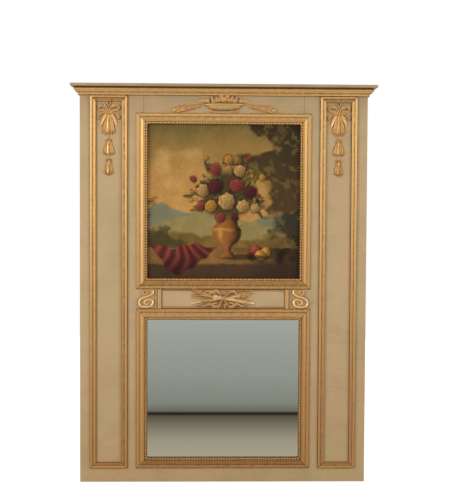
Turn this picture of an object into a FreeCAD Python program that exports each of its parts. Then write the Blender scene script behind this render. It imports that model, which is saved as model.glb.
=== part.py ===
import FreeCAD, Part
import os
import re
import Sketcher
from FreeCAD import Placement, Rotation, Vector

# A trumeau mirror: a tall framed board that hangs on a wall. A painting on canvas fills the upper
# opening and a mirror the lower one, between two tall pilaster panels and under a cornice.
# X runs to the viewer's right, Z up, and the front faces -Y. The origin is the middle of the
# bottom edge of the back, on the wall plane. All sizes are millimetres.

SIZES = (
    # the whole
    ("overall_height", 1700, "bottom edge to the top of the cap"),
    ("body_width", 1222, "across the two stiles"),
    ("board_thickness", 22, "stiles and rails"),
    ("batten_thickness", 22, "battens behind the stiles and rails"),
    ("batten_width", 45, "battens, across"),
    # where the fields and frames lie on the front
    ("base_margin", 59, "bare board below the frames"),
    ("edge_margin", 42, "bare board outside each pilaster frame"),
    ("pilaster_width", 161, "each pilaster frame, outside"),
    ("pilaster_gap", 36, "bare board between a pilaster frame and the middle frames"),
    ("picture_height", 653, "painting in sight"),
    ("tablet_height", 82, "field between the two middle frames"),
    ("frieze_height", 74, "field between the painting's frame and the cornice"),
    ("sight_lip", 17, "how far a middle frame covers the edge of its opening"),
    # joints of the rails in the stiles
    ("tenon_length", 30, "into the stile"),
    ("tenon_thickness", 8, "front to back"),
    ("tenon_shoulder", 12, "cut away above and below the tenon"),
    ("joint_clearance", 0.2, "round a tenon and past its end"),
    # section of the frames round the painting and the mirror
    ("frame_width", 48, "outer edge to sight edge"),
    ("strip_width", 15, "outer strip"),
    ("strip_rise", 8, "outer strip above the board"),
    ("strip_hollow", 4, "hollow at the strip's outer edge"),
    ("quirk_width", 2, "groove inside the strip"),
    ("quirk_depth", 2, "groove below the strip"),
    ("ridge_width", 2, "flat top of the frame"),
    ("frame_rise", 19, "flat top above the board"),
    ("cove_sag", 3.5, "large hollow below its chord"),
    ("bead_width", 10, "row of beads, across"),
    ("bead_foot", 12, "foot of the row of beads above the board"),
    ("bead_rise", 4.5, "row of beads above its foot"),
    ("sight_flat", 1, "narrow flat between the beads and the sight edge"),
    # section of the pilaster frames
    ("panel_round_width", 12, "outer round, across"),
    ("panel_round_foot", 5, "foot of the outer round above the board"),
    ("panel_round_rise", 5, "outer round above its foot"),
    ("panel_hollow_width", 10, "middle hollow, across"),
    ("panel_hollow_sag", 2, "middle hollow below its chord"),
    ("panel_flat_width", 5, "inner flat, across"),
    ("panel_flat_rise", 8, "inner flat above the board"),
    ("panel_slope", 1, "slope from the inner flat to the panel, across"),
    # cornice
    ("cornice_height", 47, "bed mould and cap together"),
    ("cap_thickness", 12, "board on top of the cornice"),
    ("cap_projection", 38, "cap past the boards, front and sides"),
    ("cap_nose", 4, "rounding of the cap's front and side edges"),
    ("groove_height", 5, "recess under the cap"),
    ("groove_depth", 5, "recess inside the large round"),
    ("ovolo_projection", 24, "top of the large round past the boards"),
    ("ovolo_height", 14, "large round"),
    ("ovolo_reach", 7, "large round, top edge past its foot"),
    ("ovolo_bulge", 3, "large round outside its chord"),
    ("neck_height", 3, "flat under the large round"),
    ("hollow_height", 8, "small hollow"),
    ("hollow_reach", 10, "small hollow, top edge past its foot"),
    ("hollow_sag", 2.5, "small hollow inside its chord"),
    # tablet between the middle frames, and the brackets at its ends
    ("tablet_end_width", 20, "upright moulding at each end of the tablet"),
    ("tablet_end_rise", 6, "round of that moulding above its foot"),
    ("tablet_edge_width", 7, "narrow moulding above and below the tablet"),
    ("tablet_edge_rise", 3, "round of that moulding above its foot"),
    ("tablet_foot", 3, "foot of both above the board"),
    ("bracket_width", 72, "scroll bracket, across"),
    ("bracket_inset", 6, "bracket inside the frames' outer edge"),
    ("bracket_gap", 12, "bracket to tablet"),
    ("bracket_ground", 6, "flat ground under the scroll"),
    ("scroll_rise", 7, "scroll above its ground"),
    ("scroll_parts", 82, "parts of the tablet's height in which the scroll is drawn"),
    ("scroll_eye", 7, "radius of the scroll's lower eye"),
    # carved ornament
    ("trim_clearance", 0.5, "ornament to the mouldings above and below it"),
    ("basket_width", 176, "bowl, across the rim"),
    ("basket_rise", 26, "bowl in front of the board"),
    ("basket_level", 40, "bowl's rim above the frame below it"),
    ("basket_depth", 27, "rim to underside"),
    ("basket_belly", 5, "curve of the bowl's ends outside their chord"),
    ("rim_thickness", 6, "bowl's rim"),
    ("rim_overhang", 6, "rim past the bowl"),
    ("foot_spread", 55, "middle of the bowl to the middle of a foot"),
    ("foot_radius", 7, "foot of the bowl"),
    ("flower_radius", 17, "flower head"),
    ("flower_rise", 20, "flower head in front of the board"),
    ("garland_start", 96, "middle of the frieze to a garland's inner end"),
    ("garland_length", 134, "along the garland"),
    ("garland_radius", 15, "outer end of a garland"),
    ("bow_drop", 34, "top of the pilaster frame's panel to the knot"),
    ("bow_width", 84, "across the two loops"),
    ("ribbon_thickness", 5, "ribbon of the bow"),
    ("ribbon_width", 9, "ribbon of the bow"),
    ("bell_rise", 19, "upper flower in front of the board; the others in step with their width"),
    ("stem_width", 4, "bare stem between the flowers"),
    ("stem_rise", 3, "stem in front of the board"),
    ("first_bell_width", 57, "upper flower, at the board"),
    ("first_bell_height", 100, "upper flower"),
    ("second_bell_width", 49, "middle flower, at the board"),
    ("second_bell_height", 72, "middle flower"),
    ("bud_width", 38, "lowest flower, at the board"),
    ("bud_height", 71, "lowest flower"),
    ("bell_gap", 12, "bare stem between two flowers"),
    ("petal_notch", 14, "notch between two petals of the upper flower"),
    ("bell_groove", 0.82, "groove between two petals, as a share of the ridges' reach"),
    ("trophy_width", 286, "torch and quiver, end to end"),
    ("torch_radius", 9, "torch at its cup"),
    ("quiver_radius", 11, "quiver at its mouth"),
    # painting and mirror in their openings
    ("fitting_gap", 2, "round the canvas and the glass in their openings"),
    ("canvas_thickness", 1, "canvas with its ground and paint"),
    ("canvas_turn", 14, "canvas folded over the stretcher's edge"),
    ("stretcher_width", 45, "bars behind the canvas, across"),
    ("stretcher_bevel", 3, "slope of a bar away from the canvas"),
    ("key_leg", 24, "corner key, along each bar"),
    ("key_thickness", 5, "corner key"),
    ("glass_thickness", 4, "silvered plate"),
    ("keeper_width", 50, "battens that keep the canvas and the glass in place"),
    ("keeper_thickness", 12, "the same, front to back"),
    ("keeper_overlap", 40, "the same, past the edge of the opening"),
    # cut nails and hangers on the back
    ("nail_width", 3, "square shank"),
    ("nail_length", 14, "in the board"),
    ("nail_head_width", 7, "square head"),
    ("nail_head_height", 1.6, "square head"),
    ("nail_clearance", 0.2, "hole round a shank and past its end"),
    ("hanger_inset", 131, "side edge of the body to the middle of a hanger"),
    ("hanger_drop", 240, "top of the cap to the hinge axis"),
    ("strap_width", 18, "hanger strap"),
    ("strap_thickness", 1.5, "hanger strap"),
    ("strap_length", 76, "hinge axis to the strap's lower end"),
    ("strap_first_hole", 38, "below the hinge axis"),
    ("strap_hole_pitch", 26, "between the two holes"),
    ("ring_wire", 1.75, "middle of the ring's rod to its edges"),
    ("ring_half_width", 13, "rod's centre line to the ring's middle"),
    ("ring_corner", 3, "centre line at the two upper corners"),
    ("ring_side", 6, "straight sides of the ring"),
    ("hinge_clearance", 0.3, "rod in the strap's eye"),
)

doc = FreeCAD.newDocument("trumeau_mirror")
sheet = doc.addObject("Spreadsheet::Sheet", "Sizes")
for row, (alias, amount, note) in enumerate(SIZES, 1):
    sheet.set(f"A{row}", note)
    sheet.set(f"B{row}", str(amount))
    sheet.setAlias(f"B{row}", alias)
doc.recompute()

# Places worked out from the sizes: depths in front of the wall, then edges along X and Z.
FACE = "(board_thickness + batten_thickness)"
HALF_BODY = "(body_width / 2)"
HALF_SIGHT = "(body_width / 2 - edge_margin - pilaster_width - pilaster_gap - frame_width)"
HALF_FRAME = f"({HALF_SIGHT} + frame_width)"
HALF_OPENING = f"({HALF_SIGHT} + sight_lip)"
HALF_FITTING = f"({HALF_OPENING} - fitting_gap)"
PILASTER_OUTER = f"({HALF_BODY} - edge_margin)"
PILASTER_INNER = f"({PILASTER_OUTER} - pilaster_width)"
PILASTER_AXIS = f"({PILASTER_OUTER} - pilaster_width / 2)"
PANEL_FRAME = "(panel_round_width + panel_hollow_width + panel_flat_width + panel_slope)"
CARCASS_TOP = "(overall_height - cap_thickness)"
CORNICE_LOW = "(overall_height - cornice_height)"
FRIEZE_LOW = f"({CORNICE_LOW} - frieze_height)"
PICTURE_HIGH = f"({FRIEZE_LOW} - frame_width)"
PICTURE_LOW = f"({PICTURE_HIGH} - picture_height)"
TABLET_HIGH = f"({PICTURE_LOW} - frame_width)"
TABLET_LOW = f"({TABLET_HIGH} - tablet_height)"
MIRROR_HIGH = f"({TABLET_LOW} - frame_width)"
MIRROR_LOW = "(base_margin + frame_width)"
TABLET_HALF = f"({HALF_FRAME} - bracket_inset - bracket_width - bracket_gap)"
EYE_RADIUS = "(ring_wire + hinge_clearance + strap_thickness)"
HINGE_DEPTH = f"(batten_thickness - {EYE_RADIUS})"
HINGE_HEIGHT = "(overall_height - hanger_drop)"
HANGER_SPREAD = f"({HALF_BODY} - hanger_inset)"

ALIASES = {alias for alias, amount, note in SIZES}
SIDES = (("left", -1), ("right", 1))
GARLAND_HUSKS = 5
BELL_PETALS = 5
pieces = []


# ---------------------------------------------------------------- helpers

def cells(text):
    """The expression with every size's alias turned into its cell."""
    def cell(found):
        word = found.group(0)
        return f"Sizes.{word}" if word in ALIASES else word
    return re.sub(r"[a-z_]+", cell, str(text))


def number(text):
    """The expression's value now."""
    answer = sheet.evalExpression(cells(text))
    return float(getattr(answer, "Value", answer))


def away(text):
    """The expression with its sign changed."""
    return "0" if text == "0" else f"-({text})"


def bind(thing, prop, text):
    """Ties a property to an expression in the sizes."""
    thing.setExpression(prop, cells(text))


def place(thing, spot, turn=None):
    """Turns a piece, then ties its place to three expressions."""
    thing.Placement = Placement(Vector(*[number(text) for text in spot]), turn or Rotation())
    for axis, text in zip("xyz", spot):
        bind(thing, f"Placement.Base.{axis}", text)


def lean(degrees):
    """A turn in the plane of the front, clockwise for the viewer."""
    return Rotation(Vector(0, 1, 0), degrees)


def piece(thing):
    """Counts an object as a finished piece, written out under its label."""
    pieces.append(thing)
    return thing


def block(label, low, high):
    """A straight-edged board between two corners."""
    box = doc.addObject("Part::Box", label)
    for side, start, stop in zip(("Length", "Width", "Height"), low, high):
        bind(box, side, f"({stop}) - ({start})")
    place(box, low)
    return box


def rod(label, foot, radius, length, turn):
    """A round rod that stands on its foot, along its own turned Z."""
    thing = doc.addObject("Part::Cylinder", label)
    bind(thing, "Radius", radius)
    bind(thing, "Height", length)
    place(thing, foot, turn)
    return thing


def join(label, parts):
    """Several solids made one."""
    whole = doc.addObject("Part::MultiFuse", label)
    whole.Shapes = parts
    whole.Refine = True
    return whole


def cut(label, base, tool):
    """One solid less another."""
    rest = doc.addObject("Part::Cut", label)
    rest.Base = base
    rest.Tool = tool
    return rest


def group(label, parts):
    """Several like solids kept apart, as one node."""
    whole = doc.addObject("Part::Compound", label)
    whole.Links = parts
    return whole


def mirrored(label, source):
    """The same piece on the other side of the middle plane."""
    twin = doc.addObject("Part::Mirroring", label)
    twin.Source = source
    twin.Normal = Vector(1, 0, 0)
    return twin


# ---------------------------------------------------------------- sketches

def fix(sketch, kind, index, end, text):
    """Ties one coordinate of a point to an expression, measured from the sketch's origin."""
    if text == "0":
        axis = {"DistanceX": -2, "DistanceY": -1}[kind]
        sketch.addConstraint(Sketcher.Constraint("PointOnObject", index, end, axis))
        return
    amount = number(text)
    if amount < 0:
        order = (index, end, -1, 1)
        text = f"-({text})"
    else:
        order = (-1, 1, index, end)
    sketch.addConstraint(Sketcher.Constraint(kind, *order, abs(amount)))
    bind(sketch, f"Constraints[{sketch.ConstraintCount - 1}]", text)


def arc_radius(here, after):
    """The radius of the arc between two corners, from its chord and its rise."""
    chord = f"(pow(({here[0]}) - ({after[0]}); 2) + pow(({here[1]}) - ({after[1]}); 2))"
    return f"{chord} / (8 * abs({here[2]})) + abs({here[2]}) / 2"


def draw(sketch, corners):
    """Draws a closed outline and ties every corner to its expressions.

    A corner is (across, up) or (across, up, rise): with a rise, the stretch to the next corner is
    an arc that stands out from the outline by that much at its middle, or in, if negative.
    """
    spots = [Vector(number(corner[0]), number(corner[1]), 0) for corner in corners]
    following = spots[1:] + spots[:1]
    turning = sum(a.x * b.y - b.x * a.y for a, b in zip(spots, following))
    edges, ends = [], []
    for corner, start, stop in zip(corners, spots, following):
        forward = True
        edge = Part.LineSegment(start, stop)
        if len(corner) == 3:
            chord = stop - start
            outward = Vector(chord.y, -chord.x, 0).normalize() * (1 if turning > 0 else -1)
            crown = (start + stop) * 0.5 + outward * number(corner[2])
            forward = (crown - start).cross(stop - crown).z > 0
            edge = Part.Arc(start, crown, stop) if forward else Part.Arc(stop, crown, start)
        edges.append(edge)
        ends.append((1, 2) if forward else (2, 1))
    first = sketch.GeometryCount
    sketch.addGeometry(edges, False)
    for index, corner in enumerate(corners):
        after = (index + 1) % len(corners)
        here = first + index
        joint = (here, ends[index][1], first + after, ends[after][0])
        sketch.addConstraint(Sketcher.Constraint("Coincident", *joint))
        fix(sketch, "DistanceX", here, ends[index][0], corner[0])
        fix(sketch, "DistanceY", here, ends[index][0], corner[1])
    for index, corner in enumerate(corners):
        if len(corner) == 3:
            text = arc_radius(corner, corners[(index + 1) % len(corners)])
            sketch.addConstraint(Sketcher.Constraint("Radius", first + index, number(text)))
            bind(sketch, f"Constraints[{sketch.ConstraintCount - 1}]", text)


def new_body(label):
    """An empty body."""
    return doc.addObject("PartDesign::Body", label)


def origin_part(body, role):
    """The body's own origin plane or axis of that role."""
    return next(item for item in body.Origin.OriginFeatures if item.Role == role)


def new_sketch(body, name, role, *outlines):
    """A sketch on one of the body's origin planes, with its outlines drawn."""
    sketch = body.newObject("Sketcher::SketchObject", f"{body.Name}_{name}")
    sketch.AttachmentSupport = [(origin_part(body, role), "")]
    sketch.MapMode = "FlatFace"
    for corners in outlines:
        draw(sketch, corners)
    return sketch


def pad(body, sketch, length, both=False):
    """Adds the sketch's outline as a solid, forwards or to both sides."""
    feature = body.newObject("PartDesign::Pad", f"{sketch.Name}_pad")
    feature.Profile = sketch
    feature.SideType = "Symmetric" if both else "One side"
    bind(feature, "Length", length)
    return feature


def pocket(body, sketch):
    """Cuts the sketch's outline right through the body, both ways."""
    feature = body.newObject("PartDesign::Pocket", f"{sketch.Name}_pocket")
    feature.Profile = sketch
    feature.Type = "ThroughAll"
    feature.SideType = "Symmetric"
    return feature


def regular(sides, radius, up="0"):
    """The corners of a regular outline with its middle on the vertical axis."""
    corners = []
    for count in range(sides):
        angle = f"({(count + 0.5) * 360 / sides} * 1 deg)"
        corners.append((f"{radius} * cos({angle})", f"{up} + {radius} * sin({angle})"))
    return corners


# ---------------------------------------------------------------- boards

def rail_levels():
    """The lower and upper edge of each rail between the stiles."""
    return {
        "bottom_rail": ("0", f"{MIRROR_LOW} - sight_lip"),
        "middle_rail": (f"{MIRROR_HIGH} + sight_lip", f"{PICTURE_LOW} - sight_lip"),
        "top_rail": (f"{PICTURE_HIGH} + sight_lip", CARCASS_TOP),
    }


def tenon_box(label, low, high, half, slack):
    """A tenon across the whole front at one rail, larger all round by the slack."""
    middle = "(batten_thickness + board_thickness / 2)"
    deep = f"(tenon_thickness / 2 + {slack})"
    return block(
        label,
        (away(half), f"-{middle} - {deep}", f"{low} + tenon_shoulder - {slack}"),
        (half, f"-{middle} + {deep}", f"{high} - tenon_shoulder + {slack}"),
    )


def rail(label, low, high):
    """A rail between the stiles with a tenon at each end."""
    front, back = away(FACE), "-batten_thickness"
    board = block(f"{label}_board", (away(HALF_OPENING), front, low), (HALF_OPENING, back, high))
    tenon = tenon_box(f"{label}_tenon", low, high, f"{HALF_OPENING} + tenon_length", "0")
    return piece(join(label, [board, tenon]))


def nail_spots():
    """Where nails enter the back of the right-hand stile: X, the depth of their seat, and Z."""
    spots = []
    for low, high in keeper_levels():
        inset = f"({HALF_OPENING} + keeper_overlap / 2)"
        spots.append((inset, "(batten_thickness - keeper_thickness)", f"(({low} + {high}) / 2)"))
    for count in range(2):
        level = f"({HINGE_HEIGHT} - strap_first_hole - {count} * strap_hole_pitch)"
        spots.append((HANGER_SPREAD, "(batten_thickness - strap_thickness)", level))
    return spots


def shaft(label, spot, half, front, back):
    """A square shaft along Y about a spot, between two depths behind the wall plane."""
    x, seat, z = spot
    low = (f"{x} - {half}", front, f"{z} - {half}")
    return block(label, low, (f"{x} + {half}", back, f"{z} + {half}"))


def nail_hole(label, spot):
    """The square hole for a nail's shank, in the board and in what the nail holds."""
    front = "-(batten_thickness + nail_length + nail_clearance)"
    return shaft(label, spot, "(nail_width / 2 + nail_clearance)", front, "0")


def stiles():
    """The two upright boards, mortised for the rails and holed for the nails."""
    board = block(
        "right_stile_board",
        (HALF_OPENING, away(FACE), "0"),
        (HALF_BODY, "-batten_thickness", CARCASS_TOP),
    )
    reach = f"{HALF_OPENING} + tenon_length + joint_clearance"
    holes = [
        tenon_box(f"{label}_mortise", low, high, reach, "joint_clearance")
        for label, (low, high) in rail_levels().items()
    ]
    for count, spot in enumerate(nail_spots()):
        holes.append(nail_hole(f"stile_hole_{count}", spot))
    right = cut("right_stile", board, join("right_stile_holes", holes))
    piece(right)
    piece(mirrored("left_stile", right))


def back_battens():
    """Four battens that hold the boards off the wall, flush with their outer edges."""
    inner = f"({HALF_BODY} - batten_width)"
    edge = "-batten_thickness"
    upright = block("right_back_batten", (inner, edge, "0"), (HALF_BODY, "0", CARCASS_TOP))
    piece(upright)
    piece(mirrored("left_back_batten", upright))
    piece(block("bottom_back_batten", (away(inner), edge, "0"), (inner, "0", "batten_width")))
    low = f"{CARCASS_TOP} - batten_width"
    piece(block("top_back_batten", (away(inner), edge, low), (inner, "0", CARCASS_TOP)))


# ---------------------------------------------------------------- mouldings

def moulding(label, section, width, length, spot, turn, mitres=(-1, 1)):
    """A length of moulding, mitred at the ends named in mitres.

    The section is (distance from the outer edge, height above the board) and runs along local X.
    The outer edge lies at local Z 0, the inner edge below it, and the moulding stands up along
    local -Y.
    """
    body = new_body(label)
    outline = [(away(corner[1]), away(corner[0]), *corner[2:]) for corner in section]
    pad(body, new_sketch(body, "section", "YZ_Plane", outline), length, both=True)
    half = f"(({length}) / 2)"
    wedges = []
    for side in mitres:
        wedges.append([
            (f"{side} * {half}", "0"),
            (f"{side} * ({half} + 1)", "0"),
            (f"{side} * ({half} + 1)", f"-({width} + 1)"),
            (f"{side} * ({half} - {width} - 1)", f"-({width} + 1)"),
        ])
    if wedges:
        pocket(body, new_sketch(body, "mitres", "XZ_Plane", *wedges))
    place(body, spot, turn)
    return body


def mitred_frame(prefix, names, section, width, left, right, low, high):
    """Four mitred mouldings round a field, given by their outer edges."""
    wide, tall = f"({right}) - ({left})", f"({high}) - ({low})"
    middle, level = f"(({left}) + ({right})) / 2", f"(({low}) + ({high})) / 2"
    runs = ((wide, middle, high), (tall, right, level), (wide, middle, low), (tall, left, level))
    for quarter, (name, (length, x, z)) in enumerate(zip(names, runs)):
        turn = lean(90 * quarter)
        piece(moulding(f"{prefix}_{name}", section, width, length, (x, away(FACE), z), turn))


def middle_frame_section():
    """Hollow-edged strip, quirk, large cove, ridge and a row of beads at the sight edge."""
    cove_start = "(strip_width + quirk_width)"
    bead_start = "(frame_width - sight_flat - bead_width)"
    return [
        ("0", "0"),
        ("0", "strip_rise - strip_hollow", "-strip_hollow / 4"),
        ("strip_hollow", "strip_rise"),
        ("strip_width", "strip_rise"),
        ("strip_width", "strip_rise - quirk_depth"),
        (cove_start, "strip_rise - quirk_depth", "-cove_sag"),
        (f"{bead_start} - ridge_width", "frame_rise"),
        (bead_start, "frame_rise"),
        (bead_start, "bead_foot", "bead_rise"),
        ("frame_width - sight_flat", "bead_foot"),
        ("frame_width", "bead_foot"),
        ("frame_width", "0"),
    ]


def pilaster_frame_section():
    """Large outer round, hollow, and an inner flat that slopes off to the panel."""
    hollow = "(panel_round_width + panel_hollow_width)"
    return [
        ("0", "0"),
        ("0", "panel_round_foot", "panel_round_rise"),
        ("panel_round_width", "panel_round_foot", "-panel_hollow_sag"),
        (hollow, "panel_flat_rise"),
        (f"{hollow} + panel_flat_width", "panel_flat_rise"),
        (PANEL_FRAME, "0"),
    ]


def middle_frames():
    """The frames round the painting and the mirror, whose backs lap over the openings."""
    names = ("top", "right", "bottom", "left")
    section = middle_frame_section()
    edges = (away(HALF_FRAME), HALF_FRAME)
    mitred_frame("painting_frame", names, section, "frame_width", *edges, TABLET_HIGH, FRIEZE_LOW)
    mitred_frame("mirror_frame", names, section, "frame_width", *edges, "base_margin", TABLET_LOW)


def pilaster_frames():
    """The tall narrow frames at the two sides."""
    section = pilaster_frame_section()
    for side, sign in SIDES:
        inner, outer = f"{sign} * {PILASTER_INNER}", f"{sign} * {PILASTER_OUTER}"
        left, right = (inner, outer) if sign > 0 else (outer, inner)
        names = ("top", "outer", "bottom", "inner") if sign > 0 else ("top", "inner", "bottom", "outer")
        mitred_frame(f"{side}_pilaster", names, section, PANEL_FRAME, left, right,
                     "base_margin", CORNICE_LOW)


def tablet_mouldings():
    """Rounds along the four edges of the tablet, the upright ones wider."""
    def round_on_foot(width, rise):
        return [("0", "0"), ("0", "tablet_foot", rise), (width, "tablet_foot"), (width, "0")]
    level = f"({TABLET_LOW} + {TABLET_HIGH}) / 2"
    upright = round_on_foot("tablet_end_width", "tablet_end_rise")
    for side, sign in SIDES:
        spot = (f"{sign} * {TABLET_HALF}", away(FACE), level)
        piece(moulding(f"tablet_{side}_end", upright, "tablet_end_width", "tablet_height", spot,
                       lean(90 * sign), mitres=()))
    run = f"2 * ({TABLET_HALF} - tablet_end_width)"
    edge = round_on_foot("tablet_edge_width", "tablet_edge_rise")
    for side, z, angle in (("top", TABLET_HIGH, 0), ("bottom", TABLET_LOW, 180)):
        piece(moulding(f"tablet_{side}_edge", edge, "tablet_edge_width", run,
                       ("0", away(FACE), z), lean(angle), mitres=()))


def cornice():
    """Bed mould with mitred returns to the wall, and the cap that covers it."""
    neck = "(groove_height + ovolo_height + neck_height)"
    inner = "(ovolo_reach + hollow_reach)"
    height = "(cornice_height - cap_thickness)"
    section = [
        ("ovolo_projection", "0"),
        ("groove_depth", "0"),
        ("groove_depth", "groove_height"),
        ("0", "groove_height", "ovolo_bulge"),
        ("ovolo_reach", "groove_height + ovolo_height"),
        ("ovolo_reach", neck, "-hollow_sag"),
        (inner, f"{neck} + hollow_height"),
        (inner, height),
        ("ovolo_projection", height),
    ]
    width = "ovolo_projection"
    hang = Rotation(Vector(1, 0, 0), 90)
    front = ("0", f"-{FACE} - {width}", CARCASS_TOP)
    piece(moulding("cornice_front", section, width, f"body_width + 2 * {width}", front, hang))
    for side, sign in SIDES:
        turn = Rotation(Vector(0, 0, 1), 90 * sign) * hang
        spot = (f"{sign} * ({HALF_BODY} + {width})", f"-({FACE} + {width}) / 2", CARCASS_TOP)
        piece(moulding(f"cornice_{side}_return", section, width, f"{FACE} + {width}", spot, turn,
                       mitres=(-sign,)))
    cornice_cap()


def cornice_cap():
    """The cap board, its front and side edges rounded above and below."""
    body = new_body("cornice_cap")
    half = f"({HALF_BODY} + cap_projection)"
    front = f"-({FACE} + cap_projection)"
    outline = [(away(half), "0"), (away(half), front), (half, front), (half, "0")]
    board = pad(body, new_sketch(body, "plan", "XY_Plane", outline), "cap_thickness")
    doc.recompute()
    nosing = body.newObject("PartDesign::Fillet", "cornice_cap_nosing")
    level = [
        f"Edge{count}" for count, edge in enumerate(board.Shape.Edges, 1)
        if edge.BoundBox.ZLength < 0.01 and edge.CenterOfMass.y < -0.01
    ]
    nosing.Base = (board, level)
    bind(nosing, "Radius", "cap_nose")
    place(body, ("0", "0", CARCASS_TOP))
    piece(body)


# ---------------------------------------------------------------- carved ornament

def flower(label, spot, petal_rise="0.7 * flower_rise"):
    """A flower head of five petals with a raised middle."""
    body = new_body(label)
    petals = []
    for count in range(5):
        for turn, reach in ((-20, 1), (20, 1), (36, 0.7)):
            angle = f"({90 + 72 * count + turn} * 1 deg)"
            petals.append((f"{reach} * flower_radius * cos({angle})",
                           f"{reach} * flower_radius * sin({angle})"))
    pad(body, new_sketch(body, "petals", "XZ_Plane", petals), petal_rise)
    middle = new_sketch(body, "middle", "XZ_Plane", regular(6, "0.3 * flower_radius"))
    pad(body, middle, "flower_rise")
    place(body, spot)
    return body


def bowl(label):
    """A shallow boat-shaped bowl in relief, its rim standing out past it in front and at the ends."""
    half, low = "(basket_width / 2 - rim_overhang)", "-basket_depth"
    body = new_body(label)
    side = [(away(half), "0", "basket_belly"), (f"-0.55 * {half}", low),
            (f"0.55 * {half}", low, "basket_belly"), (half, "0")]
    pad(body, new_sketch(body, "side", "XZ_Plane", side), "basket_rise")
    front = "(basket_rise - rim_overhang)"
    pocket(body, new_sketch(body, "plan", "XY_Plane", bowl_clearing(half, front)))
    return body


def bowl_clearing(half, front):
    """What lies in front of the bowl's curved front, in plan."""
    end = f"-{front} / 4"
    return [(away(half), end, f"-0.75 * {front}"), (half, end), (f"{half} + 1", end),
            (f"{half} + 1", "-basket_rise - 1"), (f"-{half} - 1", "-basket_rise - 1"),
            (f"-{half} - 1", end)]


def flower_basket():
    """A shallow bowl on two feet, heaped with flower heads."""
    level = f"({FRIEZE_LOW} + basket_level)"
    vessel = bowl("basket_bowl")
    place(vessel, ("0", away(FACE), level))
    rim = new_body("basket_rim")
    half, end = "(basket_width / 2)", "-basket_rise / 4"
    plan = [(away(half), "0"), (away(half), end, "0.75 * basket_rise"), (half, end), (half, "0")]
    pad(rim, new_sketch(rim, "plan", "XY_Plane", plan), "rim_thickness")
    place(rim, ("0", away(FACE), f"{level} - rim_thickness"))
    parts = [vessel, rim]
    for side, sign in SIDES:
        foot = new_body(f"basket_{side}_foot")
        tall = "(basket_level - basket_depth - trim_clearance)"
        outline = [("-foot_radius", "0"), ("foot_radius", "0"), ("foot_radius / 2", tall),
                   ("foot_radius", f"{tall} + basket_belly"), ("-foot_radius", f"{tall} + basket_belly"),
                   ("-foot_radius / 2", tall)]
        pad(foot, new_sketch(foot, "outline", "XZ_Plane", outline), "foot_radius")
        place(foot, (f"{sign} * foot_spread", away(FACE), f"{FRIEZE_LOW} + trim_clearance"))
        parts.append(foot)
    row = f"({level} + 0.3 * flower_radius)"
    high = f"({CORNICE_LOW} - trim_clearance - flower_radius)"
    for count, (step, z) in enumerate(((-2.6, row), (-1.1, high), (0, row), (1.1, high), (2.6, row))):
        petal_rise = f"{0.6 if z is row else 0.75} * flower_rise"
        spot = (f"{step} * flower_radius", away(FACE), z)
        parts.append(flower(f"basket_flower_{count}", spot, petal_rise))
    piece(join("flower_basket", parts))


def garlands():
    """Husks strung from the bowl's rim outwards, each larger than the one before, to a bud."""
    body = new_body("right_garland")
    for name, girth, swell, thickness in (("leaves", 1, 0.3, "0.45 * garland_radius"),
                                          ("rib", 0.5, 0, "garland_radius")):
        upper, lower = [], []
        for count in range(GARLAND_HUSKS):
            share = (count + 1) / GARLAND_HUSKS
            along = f"{0.86 * count / GARLAND_HUSKS:.4f} * garland_length"
            broad = f"{girth * (0.3 + 0.5 * share):.3f} * garland_radius"
            bulge = (f"{swell * share:.3f} * garland_radius",) if swell else ()
            upper.append((along, broad, *bulge))
            lower.append((along, away(broad)) if count == 0 else (along, away(broad), *bulge))
        tip = ("garland_length", "0", f"{0.25 * girth:.3f} * garland_radius")
        outline = upper + [tip] + lower[::-1]
        pad(body, new_sketch(body, name, "XZ_Plane", outline), thickness)
    place(body, ("garland_start", away(FACE), f"{FRIEZE_LOW} + 0.49 * frieze_height"), lean(13))
    piece(body)
    piece(mirrored("left_garland", body))


def bow(label):
    """A ribbon tied in two loops over two forked tails, hung from a small ring."""
    body = new_body(label)
    half = "bow_width / 2"
    loops, eyes, tails = [], [], []
    for side, sign in SIDES:
        loops.append([("0", "-ribbon_width / 2", "0.5 * ribbon_width"),
                      (f"{sign} * {half}", "0.9 * ribbon_width", "ribbon_width"),
                      ("0", "ribbon_width / 2")])
        eyes.append([(f"{sign} * ribbon_width", "0.15 * ribbon_width"),
                     (f"{sign} * 0.5 * {half}", "0.25 * ribbon_width"),
                     (f"{sign} * ({half} - ribbon_width)", "0.85 * ribbon_width"),
                     (f"{sign} * 0.5 * {half}", "0.9 * ribbon_width")])
        tails.append([("0", "0"), (f"{sign} * 0.8 * {half}", "-2.1 * ribbon_width"),
                      (f"{sign} * 0.98 * {half}", "-4.6 * ribbon_width"),
                      (f"{sign} * 0.82 * {half}", "-4.1 * ribbon_width"),
                      (f"{sign} * 0.68 * {half}", "-4.8 * ribbon_width"),
                      (f"{sign} * 0.5 * {half}", "-2.4 * ribbon_width"),
                      ("0", "-0.9 * ribbon_width")])
    for name, outlines, thickness in (("loop", loops, "1.6 * ribbon_thickness"),
                                      ("tail", tails, "ribbon_thickness")):
        for count, outline in enumerate(outlines):
            pad(body, new_sketch(body, f"{name}_{count}", "XZ_Plane", outline), thickness)
    pocket(body, new_sketch(body, "eyes", "XZ_Plane", *eyes))
    knot = new_sketch(body, "knot", "XZ_Plane", regular(8, "0.75 * ribbon_width"))
    pad(body, knot, "2.2 * ribbon_thickness")
    rims = [regular(12, f"{radius} * ribbon_width", "1.9 * ribbon_width") for radius in (1.25, 0.7)]
    pad(body, new_sketch(body, "ring", "XZ_Plane", *rims), "ribbon_thickness")
    return body


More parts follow.
